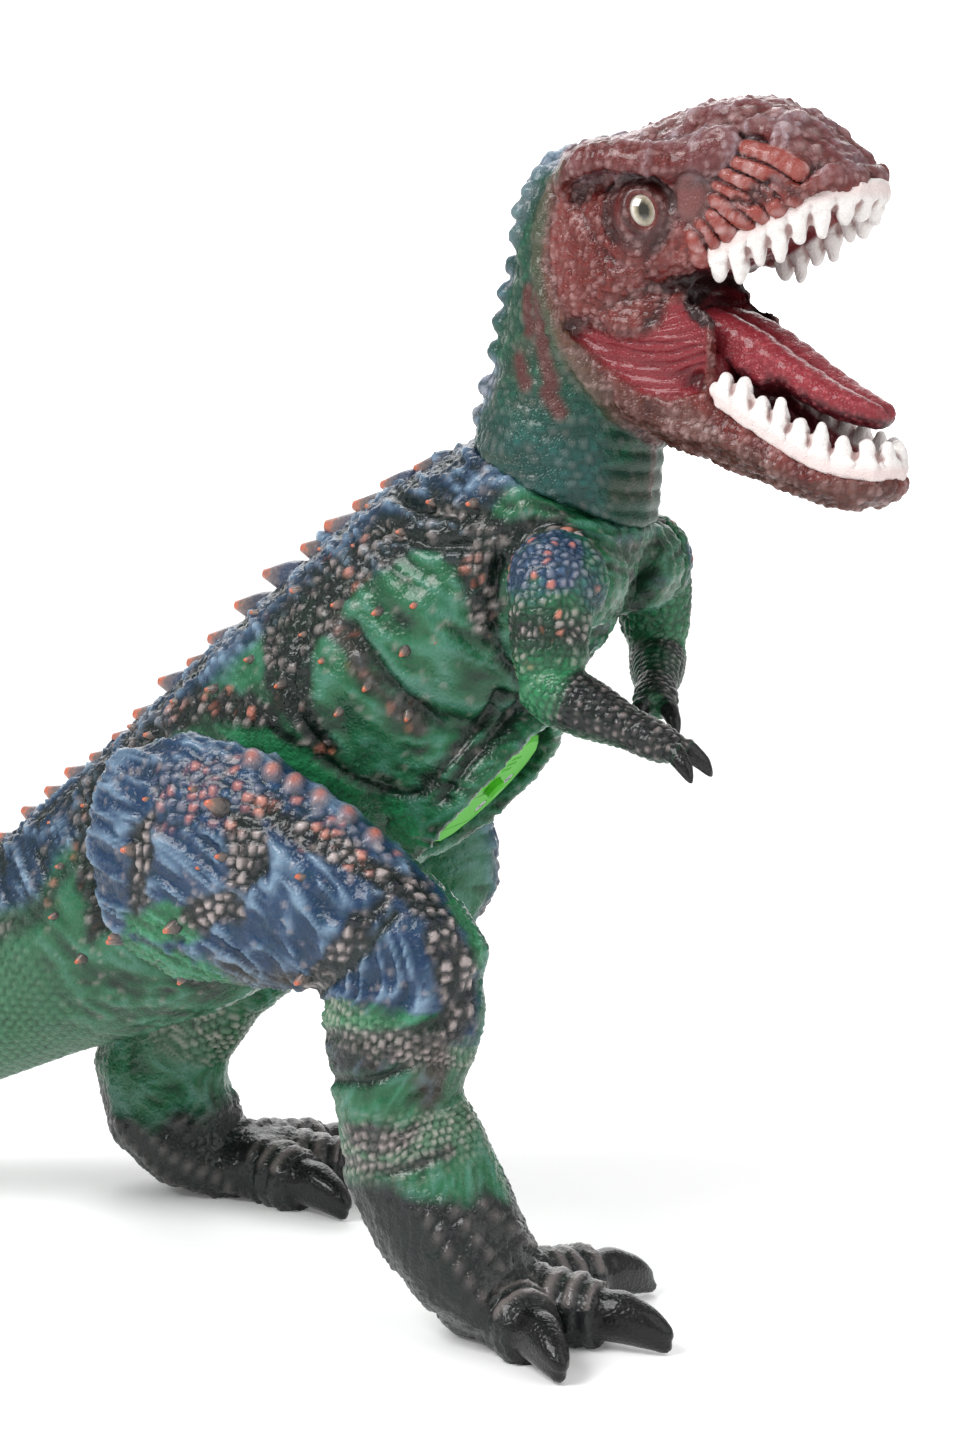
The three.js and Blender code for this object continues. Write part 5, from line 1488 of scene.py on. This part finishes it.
# Hard, wet-looking plastic with a few specks in its iris
def eyeMaterial():
    material, tree, shader = plainMaterial("glossyEyePlastic", eye["white"], eye["roughness"])
    specks = addNoise(tree, addNode(tree, "ShaderNodeTexCoord").outputs["Object"], eye["speckScale"], 2)
    centred = addMath(tree, "SUBTRACT", addMark(tree, "gaze"), eye["speckDepth"] / 2)
    shaken = addMath(tree, "MULTIPLY_ADD", specks, eye["speckDepth"], centred)
    ramp = addNode(tree, "ShaderNodeValToRGB", {"Fac": shaken})
    while len(ramp.color_ramp.elements) < len(eye["rings"]):
        ramp.color_ramp.elements.new(0.5)
    for element, (place, colour) in zip(ramp.color_ramp.elements, eye["rings"]):
        element.position = place
        element.color = linear(eye[colour])
    feed(shader, {"Base Color": ramp, "Coat Weight": 1, "Coat Roughness": 0.03})
    return material


def makeEye(side, material):
    name = sideNames[side] + "EyeBall"
    centre = fromHead(forEye(side, head["eyeAt"]))
    gaze = unit(forEye(side, eye["gaze"]) @ headAxes)
    upright = uprightTo(gaze)
    sideways = np.cross(upright, gaze)
    ball = bmesh.new()
    bmesh.ops.create_uvsphere(ball, u_segments=48, v_segments=32, radius=1)
    mesh = bpy.data.meshes.new(name)
    ball.to_mesh(mesh)
    ball.free()
    out = np.empty(len(mesh.vertices) * 3, dtype=np.float32)
    mesh.vertices.foreach_get("co", out)
    out = out.reshape(-1, 3)
    # the poles of the sphere are turned to the sides, so that none shows in the pupil
    out = out[:, :1] * upright + out[:, 1:2] * gaze + out[:, 2:] * sideways
    places = (centre + head["eyeRadius"] * out + underHips) * mm
    mesh.vertices.foreach_set("co", places.astype(np.float32).ravel())
    mesh.materials.append(material)
    mesh.shade_smooth()
    aside = out @ sideways / eye["pupilWide"]
    above = out @ (upright - side * head["eyeSlant"] * sideways) / eye["pupilTall"]
    away = np.sqrt(aside**2 + above**2) / (2 * eye["irisReach"])
    writeMark(mesh, "gaze", np.where(out @ gaze > 0, np.clip(away, 0, 1), 1))
    piece = addObject(name, mesh)
    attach(piece, "head")
    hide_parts(sideNames[side] + "_eye")


glossyEye = eyeMaterial()
for side in sideNames:
    makeEye(side, glossyEye)
print("eyes made")


# Teeth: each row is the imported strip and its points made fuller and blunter, the gum a little wavy
teeth = {
    "step": 0.5,
    "fuller": 0.7,
    "blur": 0.5,
    "gumRadius": 2.5,
    "gumPitch": 4.3,
    "toothRadius": 2.9,
    "toothTaper": (1.14, 0.72),
    "length": 8,
    # the outer teeth stand a little in from the ends of the row
    "rowStart": 0.025,
    "rowShare": 0.95,
    "upperSizes": [0.6, 1.0, 0.8, 1.05, 0.75, 0.95, 0.7, 0.6],
    "lowerSizes": [0.5, 0.8, 0.6, 1.0, 0.7, 0.95, 0.7, 0.65, 0.6],
    "crackWidth": 0.6,
    "crackDepth": 0.9,
    "waves": 0.35,
}


def makeTeeth(name, lip, sizes, way):
    t = teeth
    field = fieldOfSkin(name, [], t["step"], band=4)
    field.values -= t["fuller"]
    line = smoothLine(lip[1:], 1)[0]
    line = np.concatenate([line, (line * (1, -1, 1))[::-1]])
    lengths = lengthsOf(line)
    gaps = 2 * len(sizes) - 1
    for i, length in enumerate(np.arange(0, lengths[-1], t["gumPitch"])):
        place = between(length, lengths, line) + (0, 0, way * (0.9 + 0.5 * math.sin(2.4 * i)))
        field.dab(fromHead([place]), t["gumRadius"] + 0.25 * math.sin(1.7 * i), 1)
    thick, taper = t["toothTaper"]
    for i, size in enumerate(sizes + sizes[::-1]):
        place = between(lengths[-1] * (t["rowStart"] + t["rowShare"] * i / gaps), lengths, line)
        for share in (0.2, 0.4, 0.6, 0.8):
            ball = place + (0, 0, way * (2.5 + share * t["length"] * size))
            radius = t["toothRadius"] * (thick - taper * share) + 0.2 * math.sin(2.1 * i)
            field.dab(fromHead([ball]), radius, 0.5)
    skin = Skin(field.blurred(t["blur"]))
    inHead = toHead(skin.points)
    toTip = (inHead[:, 2] - np.interp(inHead[:, 0], lip[:, 0], lip[:, 2])) * way
    nearest = np.argmin(((inHead[:, None, :2] - line[None, :, :2]) ** 2).sum(axis=2), axis=1)
    tangents = unit(np.gradient(line[:, :2], axis=0))
    along = lengths[nearest] + ((inHead[:, :2] - line[nearest, :2]) * tangents[nearest]).sum(axis=1)
    count = (along / lengths[-1] - t["rowStart"]) / t["rowShare"] * gaps
    count = count + 0.12 * cloud(skin.points, 2.0, 63)
    pitch = lengths[-1] * t["rowShare"] / gaps
    cracks = bell((count - np.floor(count) - 0.5) * pitch, t["crackWidth"]) * ease((toTip + 0.5) / 2.5)
    skin.height = t["waves"] * cloud(skin.points, 2.2, 61) - t["crackDepth"] * cracks
    inner = gapToOutline(inHead[:, :2], planOf(lip))
    skin.marks = {
        "root": ease((2.5 - toTip) / 3) * ease((toTip + 3.5) / 2),
        # painted shade in hollows and in the cracks between the teeth
        "grooveShade": np.clip(skin.hollow(1.0) * 2.5 + 0.55 * cracks, 0, 0.8),
        "inside": ease((-inner - 1.2) / 1.4) * ease((3.5 - toTip) / 2),
    }
    skin.finish(name.replace("_t", "T") + "Vinyl", toothVinyl, "tooth_vinyl", "head", name)


# Ivory vinyl, pinker at the roots, with painted shade in its hollows and between the teeth
toothVinyl = paintedVinyl("paintedToothVinyl", "#e3dedb", [
    ("root", "#dccbc8", 0.3),
    ("grooveShade", "#a37a76", 0.2),
    ("inside", "#7d3438", 0.3),
], roughness=0.3, grain=0.9)
makeTeeth("upper_teeth", upperLip, teeth["upperSizes"], -1)
makeTeeth("lower_teeth", lowerLip, teeth["lowerSizes"], 1)


tongue = {
    "step": 0.6,
    "blur": 1.1,
    "room": 16,
    "grain": 1.5,
    # its thick body, in the head's frame: length, height, half width and radius
    "body": [(34, -12.5, 6, 5), (39, -13.5, 7, 5), (44, -15, 7, 5), (49, -17, 7.2, 4.8),
             (54, -19.5, 7.2, 4.8), (59, -22.5, 7.2, 4.7), (64, -25.5, 7, 4.6), (69, -28.5, 6.8, 4.5),
             (74, -31, 6.3, 4.3), (79, -33, 5.6, 4), (83, -34.2, 4.8, 3.6), (87, -35.3, 3.4, 3),
             (42, -19, 8.5, 4.2), (47, -21.5, 9, 4), (52, -24.5, 9, 3.8), (57, -27.5, 8.6, 3.6)],
    "furrowWidth": 1.6,
    "furrowDepth": 1.3,
    "grainHeight": 0.22,
    "waves": 0.35,
}


def makeTongue():
    t = tongue
    field = fieldOfSkin("tongue", [], t["step"], band=4).widened(t["room"], 4)
    for x, z, halfWidth, radius in t["body"]:
        row = [(x, y, z + 0.03 * y * y) for y in np.linspace(-halfWidth, halfWidth, 7)]
        field.dab(fromHead(row), radius, 1.5)
    skin = Skin(field.blurred(t["blur"]))
    inHead = toHead(skin.points)
    rough, luck = pebbles(skin.points, t["grain"], 71)
    furrow = bell(inHead[:, 1], t["furrowWidth"]) * ease(skin.normals[:, 2] * 2)
    skin.height = t["grainHeight"] * rough - t["furrowDepth"] * furrow
    skin.height += t["waves"] * cloud(skin.points, 6, 73)
    # painted shade at the root, in the furrow and on the downward faces
    shade = ease((46 - inHead[:, 0]) / 16) * 0.8 + furrow * 0.6 + ease(-skin.normals[:, 2] * 2)
    skin.marks = {
        "shade": np.clip(shade, 0, 1),
        # painted shade between the grain's bumps
        "grooveShade": (1 - rough) * 0.35,
        # painted highlights on the tops of the grain, towards the tip
        "light": rough**3 * (luck > 0.5) * 0.35 * ease((inHead[:, 0] - 40) / 20),
    }
    skin.finish("tongueVinyl", tongueVinyl, "tongue_vinyl", "head", "tongue")


# Soft red vinyl, with painted shade at the root, in its furrow and underneath, and painted highlights on its
# fine grain
tongueVinyl = paintedVinyl("paintedTongueVinyl", "#842830", [
    ("shade", "#3c0d14", 0.3),
    ("grooveShade", "#5a1a22", 0.2),
    ("light", "#c0646a", 0.2),
], roughness=0.3, grain=0.9)
makeTongue()


# Thorns: blunt, leaning cones on the back, flanks and thighs. Geometry Nodes puts one on each
# point of a plain point mesh, which says its heading, its size and how grey it is.
thorn = {
    "inputs": {
        "Height": 12 * mm,
        "Radius": 5.4 * mm,
        "Tip radius": 1.2 * mm,
        "Sides": 14,
        "Flare": 0.22,
        "Unevenness": 0.16,
        "Seed": 7,
    },
    "rings": 7,
    "ridgeSpacing": 12.3,
    "ridgeStart": 8,
    "ridgeEnd": 330,
    "ridgeSizes": ([0, 60, 180, 330], [0.85, 1.15, 1.1, 0.6]),
    "ridgeLean": 0.85,
    "ridgeSink": 5.2,
    "flankSize": 0.34,
    "flankLean": 0.55,
    "flankSink": 1.4,
    "flanks": [(377, 507), (436, 501), (477, 501), (327, 549), (405, 530), (261, 613), (342, 603), (380, 610),
               (420, 602), (440, 638), (407, 649), (307, 633), (327, 658), (369, 685), (341, 710), (410, 713),
               (253, 658), (283, 683), (138, 727), (155, 734), (215, 670), (217, 688), (90, 805), (55, 822),
               (111, 834), (63, 865), (56, 915), (84, 957), (180, 700), (120, 745), (302, 590), (360, 545)],
    "thighLean": 0.45,
    "thighSink": 1.6,
    "thighs": [(134, 850), (223, 807), (225, 857), (177, 927), (117, 936), (107, 946), (305, 877), (184, 982),
               (307, 977), (203, 868), (150, 800), (196, 790)],
    "thighSizes": [0.45, 0.62, 0.4, 0.45, 0.4, 0.58, 0.36, 0.32, 0.5, 0.3, 0.3, 0.3],
    "grey": 0.9,
}


def thornNodes():
    tree = bpy.data.node_groups.new("thornsOnPoints", "GeometryNodeTree")
    face = tree.interface
    face.new_socket("Geometry", in_out="INPUT", socket_type="NodeSocketGeometry")
    sockets = {}
    for name, value in thorn["inputs"].items():
        kind = "NodeSocketInt" if isinstance(value, int) else "NodeSocketFloat"
        sockets[name] = face.new_socket(name, in_out="INPUT", socket_type=kind)
        sockets[name].default_value = value
    sockets["Material"] = face.new_socket("Material", in_out="INPUT", socket_type="NodeSocketMaterial")
    face.new_socket("Geometry", in_out="OUTPUT", socket_type="NodeSocketGeometry")

    def add(kind, inputs=None, **settings):
        return addNode(tree, kind, inputs, **settings)

    given = add("NodeGroupInput").outputs
    cone = add("GeometryNodeMeshCone", {
        "Vertices": given["Sides"], "Side Segments": thorn["rings"], "Radius Top": given["Tip radius"],
        "Radius Bottom": given["Radius"], "Depth": given["Height"]}, fill_type="TRIANGLE_FAN")
    place = add("GeometryNodeInputPosition")
    parts = add("ShaderNodeSeparateXYZ", {0: place}).outputs
    share = addMath(tree, "DIVIDE", parts["Z"], given["Height"], use_clamp=True)
    marked = add("GeometryNodeStoreNamedAttribute", {"Geometry": cone, "Name": "tip", "Value": share},
                 data_type="FLOAT", domain="POINT")
    swell = addMath(tree, "SINE", addMath(tree, "MULTIPLY", share, math.pi))
    wider = addMath(tree, "MULTIPLY_ADD", swell, given["Flare"], 1.0)
    across = add("ShaderNodeCombineXYZ", {"X": wider, "Y": wider, "Z": 1.0})
    shaped = add("ShaderNodeVectorMath", {0: place, 1: across}, operation="MULTIPLY")
    rounded = add("GeometryNodeSetPosition", {"Geometry": marked, "Position": shaped})
    heading = add("GeometryNodeInputNamedAttribute", {"Name": "heading"}, data_type="FLOAT_VECTOR")
    size = add("GeometryNodeInputNamedAttribute", {"Name": "size"}, data_type="FLOAT")
    turned = add("FunctionNodeAlignRotationToVector", {"Vector": heading}, axis="Z")
    least = addMath(tree, "SUBTRACT", 1.0, given["Unevenness"])
    most = addMath(tree, "ADD", 1.0, given["Unevenness"])
    luck = add("FunctionNodeRandomValue", {"Min": least, "Max": most, "Seed": given["Seed"]},
               data_type="FLOAT").outputs["Value"]
    placed = add("GeometryNodeInstanceOnPoints", {
        "Points": given["Geometry"], "Instance": rounded, "Rotation": turned,
        "Scale": addMath(tree, "MULTIPLY", size, luck)})
    real = add("GeometryNodeRealizeInstances", {0: placed})
    painted = add("GeometryNodeSetMaterial", {"Geometry": real, "Material": given["Material"]})
    add("NodeGroupOutput", {"Geometry": painted})
    return tree, {name: socket.identifier for name, socket in sockets.items()}


# Blue or grey-brown paint with an ashen rub towards the tip and orange on the tip itself
def thornMaterial():
    material, tree, shader = plainMaterial("paintedThornVinyl", paints["blue"], 0.42)
    place = addNode(tree, "ShaderNodeTexCoord").outputs["Object"]
    noise = addNoise(tree, place, 700, 3)
    base = addMix(tree, addMark(tree, "grey"), linear(paints["blue"]), linear(paints["brown"]))
    ragged = addMath(tree, "MULTIPLY_ADD", noise, 0.5, addMark(tree, "tip"))
    dusty = addNode(tree, "ShaderNodeMapRange", {
        "Value": ragged, "From Min": 0.6, "From Max": 1.15, "To Max": 0.75})
    ashen = addMix(tree, dusty, base, linear("#8a7468"))
    orange = addNode(tree, "ShaderNodeMapRange", {
        "Value": ragged, "From Min": 1.0, "From Max": 1.25, "To Max": 0.95})
    tipped = addMix(tree, orange, ashen, linear(paints["tips"]))
    bump = addNode(tree, "ShaderNodeBump", {"Height": noise, "Strength": 0.9, "Distance": 0.8 * mm})
    feed(shader, {"Base Color": tipped, "Normal": bump, "Coat Weight": 0.3, "Coat Roughness": 0.12})
    return material


thornTree, thornSockets = thornNodes()
thornVinyl = thornMaterial()


# One mesh of thorns for one body. Each thorn: its foot's middle, its heading, size and greyness.
def addThorns(name, body, places, headings, sizes, greys):
    points = bpy.data.meshes.new(name + "Points")
    points.from_pydata((np.array(places) + underHips) * mm, [], [])
    points.attributes.new("heading", "FLOAT_VECTOR", "POINT").data.foreach_set(
        "vector", np.array(headings, dtype=np.float32).ravel())
    writeMark(points, "size", sizes)
    writeMark(points, "grey", greys)
    piece = addObject(name, points)
    modifier = piece.modifiers.new("thorns", "NODES")
    modifier.node_group = thornTree
    modifier[thornSockets["Material"]] = thornVinyl
    modifier[thornSockets["Seed"]] = thorn["inputs"]["Seed"] + len(places)
    view = bpy.context.evaluated_depsgraph_get()
    mesh = bpy.data.meshes.new_from_object(piece.evaluated_get(view))
    piece.modifiers.clear()
    piece.data = mesh
    mesh.shade_smooth()
    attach(piece, body)
    print(name, "has", sum(len(face.vertices) - 2 for face in mesh.polygons), "triangles")


def torsoThorns():
    t = thorn
    field = torso["field"]
    chart = Chart(torso["spine"], (0, 0, 1))
    steps = np.arange(2, 65, 0.5)
    places, headings, sizes, greys = [], [], [], []
    for i, length in enumerate(np.arange(t["ridgeStart"], t["ridgeEnd"], t["ridgeSpacing"])):
        at = between(length, chart.lengths, chart.line)
        back = between(length, chart.lengths, chart.tangents)
        out = np.array([-back[2], 0, back[0]])
        out = out if out[2] > 0 else -out
        reach = steps[field.at(at + steps[:, None] * out) < 0].max()
        places.append(at + (reach - t["ridgeSink"]) * out - 2 * back)
        headings.append(unit(out + t["ridgeLean"] * back))
        sizes.append(np.interp(length, *t["ridgeSizes"]))
        greys.append(0.35 + 0.25 * (i % 2))
    spots = spotsOn(field, t["flanks"])
    stations = chart.of(spots)[3]
    slopes = np.gradient(np.array(torso["spine"], dtype=float), axis=0)
    backs = between(stations, np.arange(len(slopes)), slopes)
    for spot, normal, back in zip(spots, field.slope(spots), backs):
        heading = unit(normal + t["flankLean"] * back / np.linalg.norm(back))
        for way in (1, -1):
            places.append((spot - t["flankSink"] * normal) * (1, way, 1))
            headings.append(heading * (1, way, 1))
            sizes.append(t["flankSize"])
            greys.append(t["grey"])
    addThorns("torsoThorns", "torso", places, headings, sizes, greys)


def legThorns(side):
    t = thorn
    name = sideNames[side]
    field = leg[name]["field"]
    places = spotsOn(leg["right"]["field"], t["thighs"])
    if side > 0:
        _, turn, radius, station = leg["right"]["chart"].of(places)
        places = field.settle(leg["left"]["chart"].place(station, -turn, radius), 4)
    normals = field.slope(places)
    headings = unit(normals + (-t["thighLean"], 0, 0))
    addThorns(name + "LegThorns", name + "_leg", places - t["thighSink"] * normals, headings,
              t["thighSizes"], [t["grey"]] * len(places))


torsoThorns()
for side in sideNames:
    legThorns(side)


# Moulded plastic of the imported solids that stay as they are: faintly mottled, with a fine grain
def mouldedPlastic(name, colour, roughness, grain, bump):
    material, tree, shader = plainMaterial(name, colour, roughness)
    place = addNode(tree, "ShaderNodeTexCoord").outputs["Object"]
    fine = addNoise(tree, place, 1 / (grain * mm), 4)
    broad = addNoise(tree, place, 60, 2)
    shade = addNode(tree, "ShaderNodeMapRange", {"Value": broad, "To Min": 0.88, "To Max": 1.1})
    tinted = addMix(tree, 1.0, linear(colour), shade, "MULTIPLY")
    worn = addNode(tree, "ShaderNodeMapRange", {
        "Value": broad, "To Min": roughness - 0.06, "To Max": roughness + 0.1})
    raised = addNode(tree, "ShaderNodeBump", {"Height": fine, "Strength": bump, "Distance": 0.05 * mm})
    feed(shader, {"Base Color": tinted, "Roughness": worn, "Normal": raised})
    return material


def steel(name):
    material = mouldedPlastic(name, "#b9bbbf", 0.3, 0.4, 0.2)
    feed(material.node_tree.nodes["Principled BSDF"], {"Metallic": 1})
    return material


def dress(material, *nodes):
    for node in nodes:
        for slot in frame["nodes"][node].material_slots:
            slot.material = material


# bright lime that shows as a thin edge under the belly
dress(mouldedPlastic("limeMouldedPlastic", "#44b00c", 0.55, 0.6, 0.25), "sound_box_bezel", "battery_door",
      "roar_button")
# matt black sockets and the box behind the door, unseen from outside
dress(mouldedPlastic("blackMouldedPlastic", "#141416", 0.5, 0.5, 0.4), "sound_box_cup", "neck_plug",
      "right_shoulder_plug", "left_shoulder_plug", "right_hip_plug", "left_hip_plug", "speaker")
# the green of a circuit board
dress(mouldedPlastic("greenBoardLaminate", "#1f5a36", 0.45, 0.8, 0.3), "circuit_board")
# bright plated screws, spring, contacts and cells
dress(steel("platedSteel"), "battery_door_screw", "right_bezel_screw", "left_bezel_screw",
      "roar_button_spring", "speaker_magnet", "button_cell_1", "button_cell_2", "button_cell_3",
      "lower_contact_plate", "upper_contact_plate")
print("packed solids dressed")
